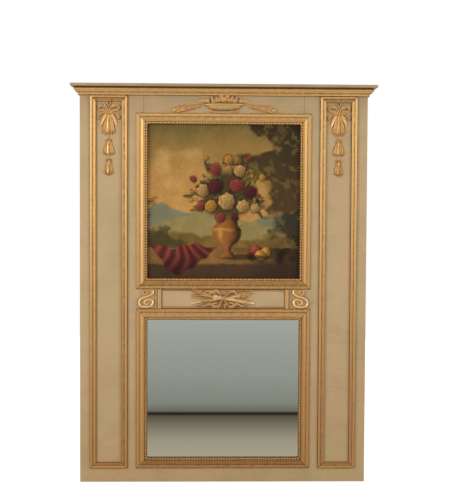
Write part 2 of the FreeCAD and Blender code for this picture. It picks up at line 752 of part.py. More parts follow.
def bell(label, spot, width, height):
    """A bell flower in relief, hanging from its neck: ridged petals that end in points.

    It is what three outlines have in common: the flower from the front, its swelling front from
    the side, and the ridges and grooves of its petals from above.
    """
    body = new_body(label)
    half, rise = f"({width} / 2)", f"(bell_rise * {width} / first_bell_width)"
    tips, ridges = [], []
    for count in range(2 * BELL_PETALS + 1):
        angle = f"({count * 90 / BELL_PETALS} * 1 deg)"
        across = f"{half} * cos({angle})"
        notch = f"petal_notch * {width} / first_bell_width - {height}"
        tips.append((across, f"-{height}" if count % 2 else notch))
        reach = "bell_groove" if count % 2 == 0 and 0 < count < 2 * BELL_PETALS else "1"
        out = f"-{reach} * {rise} * sin({angle})" if 0 < count < 2 * BELL_PETALS else "0"
        ridges.append((f"{reach} * {across}", out))
    shoulder = f"-0.3 * {height}"
    outline = [("-stem_width", "0"), ("stem_width", "0"), (f"0.6 * {half}", shoulder),
               *tips, (f"-0.6 * {half}", shoulder)]
    pad(body, new_sketch(body, "front", "XZ_Plane", outline), f"{rise} + 1")
    side = [("-stem_rise", "1"), ("-stem_rise", "0"), (f"-0.75 * {rise}", shoulder),
            (away(rise), f"-{height}"), (f"-{rise} - 2", f"-{height}"), (f"-{rise} - 2", "1")]
    pocket(body, new_sketch(body, "side", "YZ_Plane", side))
    around = [(f"-{half} - 1", "0"), (f"-{half} - 1", f"-{rise} - 2"),
              (f"{half} + 1", f"-{rise} - 2"), (f"{half} + 1", "0")]
    pocket(body, new_sketch(body, "petals", "XY_Plane", ridges + around))
    place(body, spot)
    return body


def bell_drop(label, across, top):
    """Three bell flowers one below another on a stem, the lowest the smallest."""
    neck = top
    parts = []
    for name, width, height in (("first", "first_bell_width", "first_bell_height"),
                                ("second", "second_bell_width", "second_bell_height"),
                                ("bud", "bud_width", "bud_height")):
        parts.append(bell(f"{label}_{name}", (across, away(FACE), neck), width, height))
        neck = f"({neck} - {height} - bell_gap)"
    parts.append(block(f"{label}_stem", (f"{across} - stem_width / 2", f"-{FACE} - stem_rise",
                                         f"{neck} + bud_height / 2"),
                       (f"{across} + stem_width / 2", away(FACE), top)))
    return join(label, parts)


def bows_and_drops():
    """A bow and a drop of bell flowers at the top of each pilaster panel."""
    knot = f"({CORNICE_LOW} - {PANEL_FRAME} - bow_drop)"
    right = bow("right_bow")
    place(right, (PILASTER_AXIS, away(FACE), knot))
    drop = bell_drop("right_drop", PILASTER_AXIS, f"({knot} - 1.6 * ribbon_width)")
    for name, thing in (("bow", right), ("drop", drop)):
        piece(thing)
        piece(mirrored(f"left_{name}", thing))


def scroll_brackets():
    """A flat ground with a reversed S scroll at each end of the tablet."""
    def parts(amount):
        return f"{amount} * tablet_height / scroll_parts"
    body = new_body("left_scroll")
    ground = [("0", "trim_clearance"), ("bracket_width", "trim_clearance"),
              ("bracket_width", "tablet_height - trim_clearance"), ("0", "tablet_height - trim_clearance")]
    pad(body, new_sketch(body, "ground", "XZ_Plane", ground), "bracket_ground")
    band = [
        (24, 68, 7), (46, 80, 4), (69, 64), (58, 50), (28, 40), (16, 27, -5),
        (34, 14, -5), (58, 26), (46, 36), (62, 40), (70, 28, 6), (36, 3, 7), (3, 30), (16, 47),
        (48, 61), (54, 68), (40, 70),
    ]
    outline = [tuple(parts(amount) for amount in corner) for corner in band]
    height = "bracket_ground + scroll_rise"
    pad(body, new_sketch(body, "scroll", "XZ_Plane", outline), height)
    for name, across, up, radius in (("upper_eye", 38, 62, 0.8), ("lower_eye", 40, 25, 1)):
        eye = [(f"{parts(across)} + {x}", f"{parts(up)} + {z}")
               for x, z in regular(12, f"{radius} * {parts('scroll_eye')}")]
        pad(body, new_sketch(body, name, "XZ_Plane", eye), height)
    place(body, (f"bracket_inset - {HALF_FRAME}", away(FACE), TABLET_LOW))
    piece(body)
    piece(mirrored("right_scroll", body))


def long_relief(label, right_edge, thickness, turn):
    """A flat-backed relief, alike on both sides of its local Z, crossed on the tablet."""
    body = new_body(label)
    left_edge = [(away(across), up) for across, up in right_edge[::-1] if across != "0"]
    pad(body, new_sketch(body, "outline", "XZ_Plane", right_edge + left_edge), thickness)
    level = f"({TABLET_LOW} + {TABLET_HIGH}) / 2"
    place(body, ("0", away(FACE), level), lean(number(turn)))
    bind(body, "Placement.Rotation.Angle", turn)
    return body


def trophy():
    """A torch and a quiver crossed on the tablet, bound with a knotted ribbon."""
    half = "trophy_width / 2"
    room = "(tablet_height / 2 - tablet_edge_width - trim_clearance - 1.3 * quiver_radius)"
    rise = f"asin({room} / ({half}))"
    torch = long_relief("trophy_torch", [
        ("0.3 * torch_radius", f"2 - {half}"), ("0.7 * torch_radius", f"0.28 * {half}"),
        ("torch_radius", f"0.36 * {half}"), ("1.1 * torch_radius", f"0.46 * {half}"),
        ("0.6 * torch_radius", f"0.49 * {half}"), ("torch_radius", f"0.7 * {half}"), ("0", half),
    ], "1.1 * torch_radius", f"{rise} - 90 * 1 deg")
    quiver = long_relief("trophy_quiver", [
        ("0.4 * quiver_radius", f"2 - {half}"), ("quiver_radius", f"0.21 * {half}"),
        ("1.2 * quiver_radius", f"0.21 * {half}"), ("1.2 * quiver_radius", f"0.28 * {half}"),
        ("0.5 * quiver_radius", f"0.28 * {half}"), ("0.5 * quiver_radius", f"0.6 * {half}"),
        ("quiver_radius", f"0.67 * {half}"), ("quiver_radius", f"0.93 * {half}"),
        ("0.3 * quiver_radius", f"0.98 * {half}"),
    ], "1.3 * quiver_radius", f"90 * 1 deg - {rise}")
    knot = flower("trophy_knot", ("0", away(FACE), f"({TABLET_LOW} + {TABLET_HIGH}) / 2"))
    piece(join("trophy", [torch, quiver, knot]))


# ---------------------------------------------------------------- painting and mirror

def keeper_levels():
    """The lower and upper edge of each batten that keeps the canvas or the glass in place."""
    levels = []
    for low, high in ((PICTURE_LOW, PICTURE_HIGH), (MIRROR_LOW, MIRROR_HIGH)):
        for share in (0.25, 0.75):
            middle = f"({low} + {share} * ({high} - {low}))"
            levels.append((f"{middle} - keeper_width / 2", f"{middle} + keeper_width / 2"))
    return levels


def keepers():
    """Battens across the backs of the openings, two behind each, holed for their nails."""
    half = f"({HALF_OPENING} + keeper_overlap)"
    for label, first in (("painting_keepers", 0), ("mirror_keepers", 2)):
        boards, holes = [], []
        for count in (first, first + 1):
            low, high = keeper_levels()[count]
            boards.append(block(f"keeper_{count}", (away(half), "-batten_thickness", low),
                                (half, "keeper_thickness - batten_thickness", high)))
            x, seat, z = nail_spots()[count]
            for side, sign in SIDES:
                holes.append(nail_hole(f"keeper_hole_{count}_{side}", (f"{sign} * {x}", seat, z)))
        piece(cut(label, group(f"{label}_boards", boards), group(f"{label}_holes", holes)))


def canvas():
    """The painted canvas, folded over the edges of its stretcher."""
    low, high = f"({PICTURE_LOW} - sight_lip + fitting_gap)", f"({PICTURE_HIGH} + sight_lip - fitting_gap)"
    front, turn = away(FACE), f"canvas_thickness + canvas_turn - {FACE}"
    sheet_block = block("canvas_sheet", (away(HALF_FITTING), front, low), (HALF_FITTING, turn, high))
    inner = f"({HALF_FITTING} - canvas_thickness)"
    hollow = block("canvas_hollow", (away(inner), f"canvas_thickness - {FACE}", f"{low} + canvas_thickness"),
                   (inner, "0", f"{high} - canvas_thickness"))
    piece(cut("painting_canvas", sheet_block, hollow))
    stretcher(inner, f"({low} + canvas_thickness)", f"({high} - canvas_thickness)")


def stretcher(half, low, high):
    """Four mitred bars behind the canvas and a key in each corner."""
    depth = "(board_thickness - canvas_thickness)"
    section = [("0", "0"), ("0", depth), ("stretcher_width", f"{depth} - stretcher_bevel"),
               ("stretcher_width", "0")]
    wide, tall = f"2 * {half}", f"{high} - {low}"
    level, back = f"({low} + {high}) / 2", "-batten_thickness"
    runs = (("top", wide, ("0", back, high)), ("right", tall, (half, back, level)),
            ("bottom", wide, ("0", back, low)), ("left", tall, (away(half), back, level)))
    for quarter, (name, length, spot) in enumerate(runs):
        piece(moulding(f"stretcher_{name}", section, "stretcher_width", length, spot, lean(90 * quarter)))
    keys = []
    for quarter, (x, z) in enumerate(((1, high), (1, low), (-1, low), (-1, high))):
        key = new_body(f"stretcher_key_{quarter}")
        outline = [("0", "0"), ("-key_leg", "0"), ("0", "-key_leg")]
        pad(key, new_sketch(key, "outline", "XZ_Plane", outline), "key_thickness")
        inward = "stretcher_width" if z is low else "-stretcher_width"
        place(key, (f"{x} * ({half} - stretcher_width)", "-batten_thickness - key_thickness",
                    f"{z} + {inward}"), lean(90 * quarter))
        keys.append(key)
    piece(group("stretcher_keys", keys))


def mirror():
    """The silvered plate behind the lips of its frame, and the board that backs it."""
    low, high = f"({MIRROR_LOW} - sight_lip + fitting_gap)", f"({MIRROR_HIGH} + sight_lip - fitting_gap)"
    seam = f"glass_thickness - {FACE}"
    piece(block("mirror_plate", (away(HALF_FITTING), away(FACE), low), (HALF_FITTING, seam, high)))
    piece(block("mirror_backing_board", (away(HALF_FITTING), seam, low),
                (HALF_FITTING, "-batten_thickness", high)))


# ---------------------------------------------------------------- nails and hangers

def nail(label, spot):
    """A square-cut nail with its shank in the board and its head on what it holds."""
    seat = spot[1]
    front, head = "-(batten_thickness + nail_length)", f"(nail_head_height - {seat})"
    shank = shaft(f"{label}_shank", spot, "nail_width / 2", front, f"-{seat}")
    cap = shaft(f"{label}_head", spot, "nail_head_width / 2", f"-{seat}", head)
    return join(label, [shank, cap])


def nails():
    """The nails of the four keepers and of the two hangers."""
    spots = nail_spots()
    for label, chosen in (("keeper_nails", spots[:4]), ("hanger_nails", spots[4:])):
        solids = []
        for count, (x, seat, z) in enumerate(chosen):
            for side, sign in SIDES:
                solids.append(nail(f"{label}_{count}_{side}", (f"{sign} * {x}", seat, z)))
        piece(group(label, solids))


def hanger_strap(side, sign):
    """A steel strap nailed to the stile, rolled into an eye at its upper end."""
    x = f"{sign} * {HANGER_SPREAD}"
    y, z = f"-{HINGE_DEPTH}", HINGE_HEIGHT
    left, right = f"{x} - strap_width / 2", f"{x} + strap_width / 2"
    along = Rotation(Vector(0, 1, 0), 90)
    flat = block(f"{side}_strap_flat", (left, "-batten_thickness", f"{z} - strap_length"),
                 (right, "strap_thickness - batten_thickness", z))
    roll = rod(f"{side}_strap_roll", (left, y, z), EYE_RADIUS, "strap_width", along)
    eye = rod(f"{side}_strap_eye", (left, y, z), f"{EYE_RADIUS} - strap_thickness", "strap_width", along)
    holes = [eye]
    for count, (spread, seat, level) in enumerate(nail_spots()[4:]):
        holes.append(nail_hole(f"{side}_strap_hole_{count}", (x, seat, level)))
    solid = join(f"{side}_strap_solid", [flat, roll])
    piece(cut(f"{side}_hanger_strap", solid, join(f"{side}_strap_holes", holes)))


def hanger_ring(side, sign):
    """A D-shaped ring of square rod whose straight bar turns in the strap's eye."""
    body = new_body(f"{side}_hanger_ring")
    bar = "(ring_half_width - ring_corner)"
    turn = "ring_corner * (1 - sqrt(0.5))"
    foot = "(ring_corner + ring_side)"
    low = f"-({foot} + ring_half_width)"
    sweep = "ring_half_width * (1 - sqrt(0.5))"
    path = new_sketch(body, "path", "XZ_Plane", [
        ("0", "0"), (bar, "0", turn), ("ring_half_width", "-ring_corner"),
        ("ring_half_width", f"-{foot}", sweep), ("0", low, sweep), ("-ring_half_width", f"-{foot}"),
        ("-ring_half_width", "-ring_corner", turn), (f"-{bar}", "0"),
    ])
    corners = [(f"ring_wire * cos({45 + 90 * count} * 1 deg)",
                f"ring_wire * sin({45 + 90 * count} * 1 deg)") for count in range(4)]
    section = new_sketch(body, "section", "YZ_Plane", corners)
    rod_along = body.newObject("PartDesign::AdditivePipe", f"{side}_ring_rod")
    rod_along.Profile = section
    rod_along.Spine = (path, [f"Edge{count}" for count in range(1, 9)])
    place(body, (f"{sign} * {HANGER_SPREAD}", f"-{HINGE_DEPTH}", HINGE_HEIGHT))
    piece(body)


# ---------------------------------------------------------------- the whole

def build():
    """Makes every piece."""
    stiles()
    for label, (low, high) in rail_levels().items():
        rail(label, low, high)
    back_battens()
    pilaster_frames()
    middle_frames()
    tablet_mouldings()
    cornice()
    flower_basket()
    garlands()
    bows_and_drops()
    scroll_brackets()
    trophy()
    canvas()
    mirror()
    keepers()
    nails()
    for side, sign in SIDES:
        hanger_strap(side, sign)
        hanger_ring(side, sign)


def check():
    """Stops if any object failed or any piece has no valid solid."""
    faults = []
    for thing in doc.Objects:
        if {"Invalid", "Error"} & set(thing.State):
            faults.append(f"{thing.Label}: {thing.State}")
    for thing in pieces:
        shape = thing.Shape
        if shape.isNull() or not shape.isValid() or not shape.Solids:
            faults.append(f"{thing.Label}: no valid solid")
    if faults:
        raise RuntimeError("; ".join(faults))


build()
doc.recompute()
check()
os.makedirs("parts", exist_ok=True)
for thing in pieces:
    thing.Shape.exportStep(f"parts/{thing.Label}.step")
    print(thing.Label, len(thing.Shape.Solids), round(thing.Shape.Volume, 1))
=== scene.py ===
import math

import bmesh
import bpy
import numpy as np
from bpy.props import FloatProperty, FloatVectorProperty, IntProperty, PointerProperty
from mathutils import Matrix, Vector


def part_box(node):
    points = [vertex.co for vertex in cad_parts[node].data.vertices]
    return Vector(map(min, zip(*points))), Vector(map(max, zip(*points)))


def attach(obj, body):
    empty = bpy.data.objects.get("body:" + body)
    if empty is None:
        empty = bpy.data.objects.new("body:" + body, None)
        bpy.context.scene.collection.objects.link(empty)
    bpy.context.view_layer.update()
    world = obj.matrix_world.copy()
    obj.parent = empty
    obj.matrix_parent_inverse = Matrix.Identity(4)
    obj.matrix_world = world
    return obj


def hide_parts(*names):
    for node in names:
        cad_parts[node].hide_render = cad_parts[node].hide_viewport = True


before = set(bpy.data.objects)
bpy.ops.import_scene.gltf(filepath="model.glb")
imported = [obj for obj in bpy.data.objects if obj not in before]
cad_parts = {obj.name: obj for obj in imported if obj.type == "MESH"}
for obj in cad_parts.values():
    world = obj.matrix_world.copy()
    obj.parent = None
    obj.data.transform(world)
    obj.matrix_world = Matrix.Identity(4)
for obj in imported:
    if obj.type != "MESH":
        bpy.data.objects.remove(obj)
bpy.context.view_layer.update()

bl_info = {
    "name": "Trumeau mirror",
    "version": (1, 0, 0),
    "blender": (4, 5, 0),
    "location": "View3D > Sidebar > Trumeau",
    "description": "Dresses the frame of a trumeau mirror in carved, painted and gilded pieces",
    "category": "Add Mesh",
}

# Places read from the frame, in metres. The front faces -Y.
BOARD = float(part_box("left_stile")[0][1])
HALF_BODY = float(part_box("right_stile")[1][0])
JOINT = float(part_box("right_stile")[0][0])
SIDES = (("left", -1), ("right", 1))
CASE = "mirror_case"
OUT = (0, -1, 0)

PAINT_EDGE = 0.0005         # paint runs this far past the face or the edge of a board
MITRE_SOIL = 0.0025         # soil lies this far in from a mitre
SIGHT_LIP = 0.001           # flat between the beads and the sight edge of the middle frames
RIM_ABOVE_FOOT = 0.0395     # the flower bowl's rim above the lowest point of the carving
KNOT_BELOW_TOP = 0.0283     # a bow's knot below the top of its ring
GARLAND_SIZE = 0.97         # the garlands against the drawing they are made from
GARLAND_DROOP = math.radians(-10)
GARLAND_ROOT = 0.008        # where a garland springs, below its highest point
TORCH_TILT = math.radians(9.5)
SHAFT_TILT = math.radians(14)
RING_REACH = 0.00124        # a hanger ring's CAD box reaches this far past the middle of its wire
RING_CORNER = 0.003         # bend at the two upper corners of a hanger ring
CREASE = math.radians(38)   # faces that meet more sharply than this keep their edge

# How bright the gilding of each member is, as painted shade that dims tops, bottoms and inner
# uprights; and how far the crests of each carving are rubbed, lifted into the painted highlight.
MIDDLE_SHADE = {"left": 0.97, "right": 0.93, "top": 0.7, "bottom": 0.62}
PILASTER_SHADE = {"outer": 1.0, "inner": 0.84, "top": 0.62, "bottom": 0.9}
BURNISH_AND_HIGHLIGHT = {"basket": 1.35, "garland": 1.16, "bow": 1.3, "drop": 1.2, "scroll": 1.35, "trophy": 1.35}


# ---------------------------------------------------------------- colours and settings

def linear(code):
    """The linear colour of an sRGB hex code.

    Each part is v / 12.92 up to 0.04045, and ((v + 0.055) / 1.055) ^ 2.4 above.
    """
    parts = np.array([int(code[i:i + 2], 16) for i in (0, 2, 4)]) / 255
    curved = ((parts + 0.055) / 1.055) ** 2.4
    return tuple(np.where(parts <= 0.04045, parts / 12.92, curved).tolist())


def colour(name, description, code):
    """A colour that the user may change."""
    return FloatVectorProperty(name=name, description=description, subtype="COLOR", size=3,
                               min=0, max=1, default=linear(code))


def length(name, description, millimetres):
    """A length that the user may change, given in millimetres."""
    return FloatProperty(name=name, description=description, unit="LENGTH",
                         default=millimetres / 1000, min=0)


class TrumeauColours(bpy.types.PropertyGroup):
    paint: colour("Paint", "Oil paint of the boards", "c9aa80")
    paint_olive: colour("Paint turned olive", "Oil paint where old varnish has turned it green",
                        "bca878")
    paint_low: colour("Paint, low", "Oil paint near the floor", "c2a073")
    # Also the tone of the painted shade under the cornice.
    paint_soil_and_shade: colour("Soil", "Soil in cracks and corners of the paint", "7c6242")
    gold: colour("Gold", "Gold leaf where it is clean", "e9bb77")
    # The crest colour is also a painted highlight.
    gold_crest_highlight: colour("Gold, crests", "Gold leaf on the crests of the carving, rubbed bright",
                       "f8dca8")
    # Gold leaf darker towards the floor.
    gold_low: colour("Gold, low", "Gold leaf near the floor, darker with soil", "cb9a5f")
    # The bole's tone is also the painted shade in hollows and along the feet of mouldings and
    # carving.
    bole_and_shade: colour("Bole", "Clay ground and soil in the hollows of the gilding", "764a26")
    wood: colour("Wood", "Bare pine of the back", "a98258")
    wood_dark: colour("Wood, dark", "Late wood in the pine's grain", "7d5935")
    linen: colour("Linen", "Back of the canvas", "b09a74")
    steel: colour("Steel", "Forged hangers and nails", "4b4640")
    silver: colour("Silver", "Silvering seen through the glass", "f2f4f0")


class TrumeauMouldings(bpy.types.PropertyGroup):
    strip_width: length("Strip", "Outer strip of the two middle frames", 15)
    strip_rise: length("Strip rise", "Outer strip in front of the board", 8)
    quirk: length("Quirk", "Groove inside the strip", 2)
    ridge: length("Ridge", "Flat top of the middle frames", 2)
    bead_width: length("Bead", "Row of beads, across", 10)
    bead_foot: length("Bead foot", "Foot of the beads in front of the board", 12)
    bead_rise: length("Bead rise", "Beads above their foot", 4.5)
    bead_pitch: length("Bead pitch", "Middle of one bead to the next", 11.4)
    round_width: length("Round", "Outer round of the pilaster frames, across", 12)
    hollow_width: length("Hollow", "Middle hollow of the pilaster frames, across", 10)
    inner_flat: length("Inner flat", "Inner flat of the pilaster frames, across", 5)
    segments: IntProperty(name="Segments", description="Steps in each round or hollow",
                          default=8, min=3, max=32)


class TrumeauCarving(bpy.types.PropertyGroup):
    flower: length("Flower", "Radius of a flower head on the bowl", 15)
    ribbon: length("Ribbon", "Ribbon of the bows, across", 9)
    scroll_band: length("Scroll band", "Band of the scroll brackets, across", 13)
    ring_wire: length("Ring wire", "Radius of the hanger rings' wire", 1.7)


class TrumeauStage(bpy.types.PropertyGroup):
    place: FloatVectorProperty(name="Camera", description="Where the camera stands", size=3,
                               unit="LENGTH", default=(-0.1085, -4.7298, 1.2046))
    aside: FloatProperty(name="Aside", description="The camera's turn to the right",
                         subtype="ANGLE", default=math.radians(1.48))
    down: FloatProperty(name="Down", description="The camera's tilt below the level",
                        subtype="ANGLE", default=math.radians(2.52))
    roll: FloatProperty(name="Roll", description="The camera's roll",
                        subtype="ANGLE", default=math.radians(0.28))
    lens: FloatProperty(name="Lens", description="Focal length on a sensor 36 mm wide",
                        default=87.4, min=10)


# ---------------------------------------------------------------- shapes as arrays

def grid_faces(rows, columns, wrap=True):
    """Four-sided faces of a grid of points; with wrap, the last column meets the first."""
    row, column = np.meshgrid(np.arange(rows - 1), np.arange(columns if wrap else columns - 1),
                              indexing="ij")
    after = (column + 1) % columns
    corners = (row * columns + column, row * columns + after,
               (row + 1) * columns + after, (row + 1) * columns + column)
    return np.stack(corners, -1).reshape(-1, 4)


def tube(points, lift):
    """A closed shape from rings of points, shaped (rings, points in a ring, 3).

    lift, 0 in a hollow to 1 on a crest, tells the gilding where it is rubbed bright and takes a
    painted highlight, and where dirt and painted shade lie.
    """
    rings, around = points.shape[:2]
    first = np.arange(around)[None]
    faces = [grid_faces(rings, around), first[:, ::-1], (rings - 1) * around + first]
    return points.reshape(-1, 3), faces, np.broadcast_to(lift, (rings, around)).ravel()


def joined(shapes):
    """Several shapes as one: their points one after another, and their faces renumbered."""
    starts = np.cumsum([0] + [len(shape[0]) for shape in shapes])
    faces = [start + block for start, shape in zip(starts, shapes) for block in shape[1]]
    points = np.concatenate([shape[0] for shape in shapes])
    return points, faces, np.concatenate([shape[2] for shape in shapes])


def moved(shape, spot=(0, 0, 0), turn=0.0, scale=(1, 1, 1)):
    """A shape scaled, turned in the plane of the board (anticlockwise to the viewer) and moved."""
    points, faces, lift = shape
    points = points * np.array(scale)
    x, y, z = points.T
    turned = np.stack([x * math.cos(turn) - z * math.sin(turn), y,
                       x * math.sin(turn) + z * math.cos(turn)], -1)
    return turned + np.array(spot), faces, lift


def mirrored(shapes):
    """The shapes, and their mirror images at the other side of the middle."""
    return [*shapes, *(moved(shape, scale=(-1, 1, 1)) for shape in shapes)]


def curve_through(spots, count=40):
    """Points on the smooth Catmull-Rom curve through the spots, evenly many between each two.

    Between two spots b and c with neighbours a and d, at t from 0 to 1, it is
    b + t (c - a) / 2 + t^2 (a - 2.5 b + 2 c - d / 2) + t^3 (1.5 (b - c) + (d - a) / 2).
    """
    spots = np.array(spots, float)
    full = np.concatenate([2 * spots[:1] - spots[1:2], spots, 2 * spots[-1:] - spots[-2:-1]])
    at = np.linspace(0, len(spots) - 1, count)
    index = np.minimum(at.astype(int), len(spots) - 2)
    t = (at - index)[:, None]
    a, b, c, d = (full[index + k] for k in range(4))
    return (b + t * (c - a) / 2 + t ** 2 * (a - 2.5 * b + 2 * c - d / 2)
            + t ** 3 * (1.5 * (b - c) + (d - a) / 2))


def cross_section(*upper):
    """A section (across, out) from its upper corners, with a low edge at each side for dirt and
    painted shade.
    """
    return np.array([(-0.62, 0), (-0.62, 0.05), (-0.5, 0.06), *upper,
                     (0.5, 0.06), (0.62, 0.05), (0.62, 0)])


ROUND = cross_section(*((-math.cos(v) / 2, math.sin(v))
                        for v in np.linspace(0.15, math.pi - 0.15, 7)))
FLUTED = cross_section((-0.5, 0.7), (-0.4, 1), (-0.27, 0.88), (-0.12, 0.55), (0, 0.47),
                       (0.12, 0.55), (0.27, 0.88), (0.4, 1), (0.5, 0.7))
LEAF = cross_section((-0.46, 0.4), (-0.3, 0.66), (-0.14, 0.6), (0, 1), (0.14, 0.6), (0.3, 0.66),
                     (0.46, 0.4))


def band(spots, width, rise, section=ROUND, count=40, base=0.0):
    """A band carved in relief along a curve in the board's plane.

    Each ring is the section (across, out), its first number along the curve's normal times the
    width and its second out of the board times the rise, from the base on. Width, rise and base
    are single numbers or rows of numbers spread along the path. The spots are (x, z), and all is
    in millimetres.
    """
    path = curve_through(spots, count) / 1000
    along = np.gradient(path, axis=0)
    along /= np.linalg.norm(along, axis=1)[:, None] + 1e-12
    share = np.linspace(0, 1, count)
    wide, high, foot = (np.interp(share, np.linspace(0, 1, len(row)), row) / 1000
                        for row in map(np.atleast_1d, (width, rise, base)))
    across = section[None, :, 0] * wide[:, None]
    x = path[:, :1] - along[:, 1:] * across
    z = path[:, 1:] + along[:, :1] * across
    y = -foot[:, None] - section[None, :, 1] * high[:, None]
    # The lift follows the section's height: the crest takes the painted highlight, the low edges
    # painted shade.
    crest = section[:, 1] ** 0.6
    return tube(np.stack([x, y, z], -1), crest[None])


def relief(rows, columns=21, lobes=0, depth=0.0):
    """A half-round form with a flat back, standing along Z.

    The rows are (half width, rise, height) in millimetres. Around each ring the angle v goes from
    0 to pi, with x = half width cos v and y = -rise sin v. With w the square root of
    |sin(lobes v / 2)|, both are times 1 + depth (w - 1), which cuts a groove between each two of
    the lobes, and the lift is 0.1 + 0.9 w^2 sqrt(sin v).
    """
    rows = np.array(rows, float) / 1000
    v = np.linspace(0, math.pi, columns)
    wave = np.abs(np.sin(lobes * v / 2)) ** 0.5 if lobes else np.ones(columns)
    ripple = 1 + depth * (wave - 1)
    x = rows[:, :1] * np.cos(v) * ripple
    y = -rows[:, 1:2] * np.sin(v) * ripple
    z = np.repeat(rows[:, 2:], columns, 1)
    return tube(np.stack([x, y, z], -1), (0.1 + 0.9 * wave ** 2 * np.sin(v) ** 0.5)[None])


def rosette(radius, rise, petals=5, turn=0.0):
    """A flower head in relief.

    With r from 0 to 1, angle a and p = |cos(petals (a - turn) / 2)|, the outline is
    radius (1 - 0.22 (1 - p)), and the height is rise times a raised eye, exp(-(r / 0.22)^2), plus
    cupped petals, 0.75 sin(pi r^0.8) (0.55 + 0.45 p).
    """
    a = np.linspace(0, 2 * math.pi, petals * 8, endpoint=False)
    r = np.array([1, 0.92, 0.78, 0.6, 0.42, 0.28, 0.18, 0.08, 0.01])[:, None]
    lobe = np.abs(np.cos(petals * (a - turn) / 2))[None]
    edge = radius * (1 - 0.22 * (1 - lobe)) / 1000
    high = np.exp(-(r / 0.22) ** 2) + 0.75 * np.sin(math.pi * r ** 0.8) * (0.55 + 0.45 * lobe)
    height = rise / 1000 * np.maximum(high, 0.05)
    back = np.zeros_like(edge)
    x = np.concatenate([edge * np.cos(a), r * edge * np.cos(a)])
    z = np.concatenate([edge * np.sin(a), r * edge * np.sin(a)])
    y = -np.concatenate([back, height])
    lift = np.concatenate([back, np.clip(0.42 + 0.8 * high, 0, 1)])
    return tube(np.stack([x, y, z], -1), lift)


def arc(start, stop, rise, count):
    """Points of a shallow arc between two corners, its middle off the chord by the rise.

    The arc is taken as a parabola: chord point plus 4 t (1 - t) rise along the chord's normal.
    """
    start, stop = np.array(start, float), np.array(stop, float)
    t = np.linspace(0, 1, count)[:, None]
    chord = stop - start
    normal = np.array([-chord[1], chord[0]]) / np.linalg.norm(chord)
    return start + t * chord + 4 * t * (1 - t) * rise * normal


def moulding(profile, spot, along, inward, outward, run, mitres=(True, True)):
    """A length of moulding with its ends cut square or mitred.

    The profile is (distance from the outer edge, height, lift). A point at distance d and height h
    lies at spot + along s + inward d + outward h, with s out to half the run, less d where the end
    is mitred. Soil lies at each mitre.
    """
    d, h, lift = profile.T
    start = -run / 2 + (d if mitres[0] else 0 * d)
    stop = run / 2 - (d if mitres[1] else 0 * d)
    rim = MITRE_SOIL / run
    t = np.array([0, rim, 0.5, 1 - rim, 1])[:, None]
    darkening = np.array([0.1 if mitres[0] else 1, 1, 1, 1, 0.1 if mitres[1] else 1])[:, None]
    s = start + t * (stop - start)
    axes = [np.array(axis, float) for axis in (along, inward, outward)]
    points = (np.array(spot) + s[..., None] * axes[0]
              + d[None, :, None] * axes[1] + h[None, :, None] * axes[2])
    return tube(points, darkening * lift[None])


def beads(spot, along, outward, run, across, pitch, rise):
    """A row of flattened beads, evenly spread at about the pitch.

    Each is the upper part of a ball, from 25 degrees below its middle: half a step along the row,
    half the width across it and the rise outwards.
    """
    count = max(1, round(run / pitch))
    step = run / count
    a = np.linspace(0, 2 * math.pi, 8, endpoint=False)
    v = np.radians([-25, 5, 35, 62, 84])[:, None]
    along, outward = np.array(along, float), np.array(outward, float)
    side = np.cross(along, outward)
    ball = ((np.cos(v) * np.cos(a))[..., None] * along * step * 0.5
            + (np.cos(v) * np.sin(a))[..., None] * side * across / 2
            + (np.sin(v) + 0 * a)[..., None] * outward * rise)
    lift = np.clip(0.4 + 0.8 * np.sin(v) + 0 * a, 0, 1)
    middles = (np.arange(count) - (count - 1) / 2) * step
    return joined([tube(ball + np.array(spot) + along * middle, lift) for middle in middles])


# ---------------------------------------------------------------- objects

def corners_of(name):
    """The lowest and the highest corner of a CAD node at rest."""
    return (np.array(corner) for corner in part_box(name))


def add_piece(name, shape, material, node, body=CASE):
    """Makes an object of a shape, turns its faces outwards and lets it stand for its node."""
    points, faces, lift = shape
    mesh = bpy.data.meshes.new(name)
    mesh.from_pydata(points.tolist(), [], [face for block in faces for face in block.tolist()])
    mesh.attributes.new("lift", "FLOAT", "POINT").data.foreach_set("value", lift.astype(np.float32))
    work = bmesh.new()
    work.from_mesh(mesh)
    bmesh.ops.recalc_face_normals(work, faces=work.faces)
    work.to_mesh(mesh)
    work.free()
    mesh.shade_smooth()
    mesh.set_sharp_from_angle(angle=CREASE)
    mesh.materials.append(material)
    piece = bpy.data.objects.new(name, mesh)
    bpy.context.scene.collection.objects.link(piece)
    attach(piece, body)
    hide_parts(node)
    return piece


def add_gilding(node, shape):
    """A gilded moulding in place of its node."""
    add_piece(f"gilt_{node}", shape, finish(gold_leaf_on_bole), node)


def add_carving(node, shape, name=None):
    """A gilded carving, its crests lifted past the mouldings', where the leaf is rubbed bright and
    painted highlit.
    """
    points, faces, lift = shape
    rubbed_and_highlit = BURNISH_AND_HIGHLIGHT[node.split("_")[-1]] * lift
    add_piece(f"carved_{name or node}", (points, faces, rubbed_and_highlit), finish(gold_leaf_on_bole), node)


def dress(nodes, material):
    """Gives CAD nodes a material in every slot."""
    for node in (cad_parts[name] for name in nodes):
        if not node.data.materials:
            node.data.materials.append(material)
        for slot in node.material_slots:
            slot.material = material


# ---------------------------------------------------------------- materials

def add_node(tree, kind, inputs=None, **settings):
    """A shader node of a kind, with its settings, and its inputs by number or name.

    An input is a value, a socket to link from, or a node, which stands for its first output in use.
    """
    made = tree.nodes.new("ShaderNode" + kind)
    for key, value in settings.items():
        setattr(made, key, value)
    for key, value in (inputs or {}).items():
        if isinstance(value, bpy.types.Node):
            value = next(socket for socket in value.outputs if socket.enabled)
        if isinstance(value, bpy.types.NodeSocket):
            tree.links.new(value, made.inputs[key])
        else:
            made.inputs[key].default_value = value
    return made


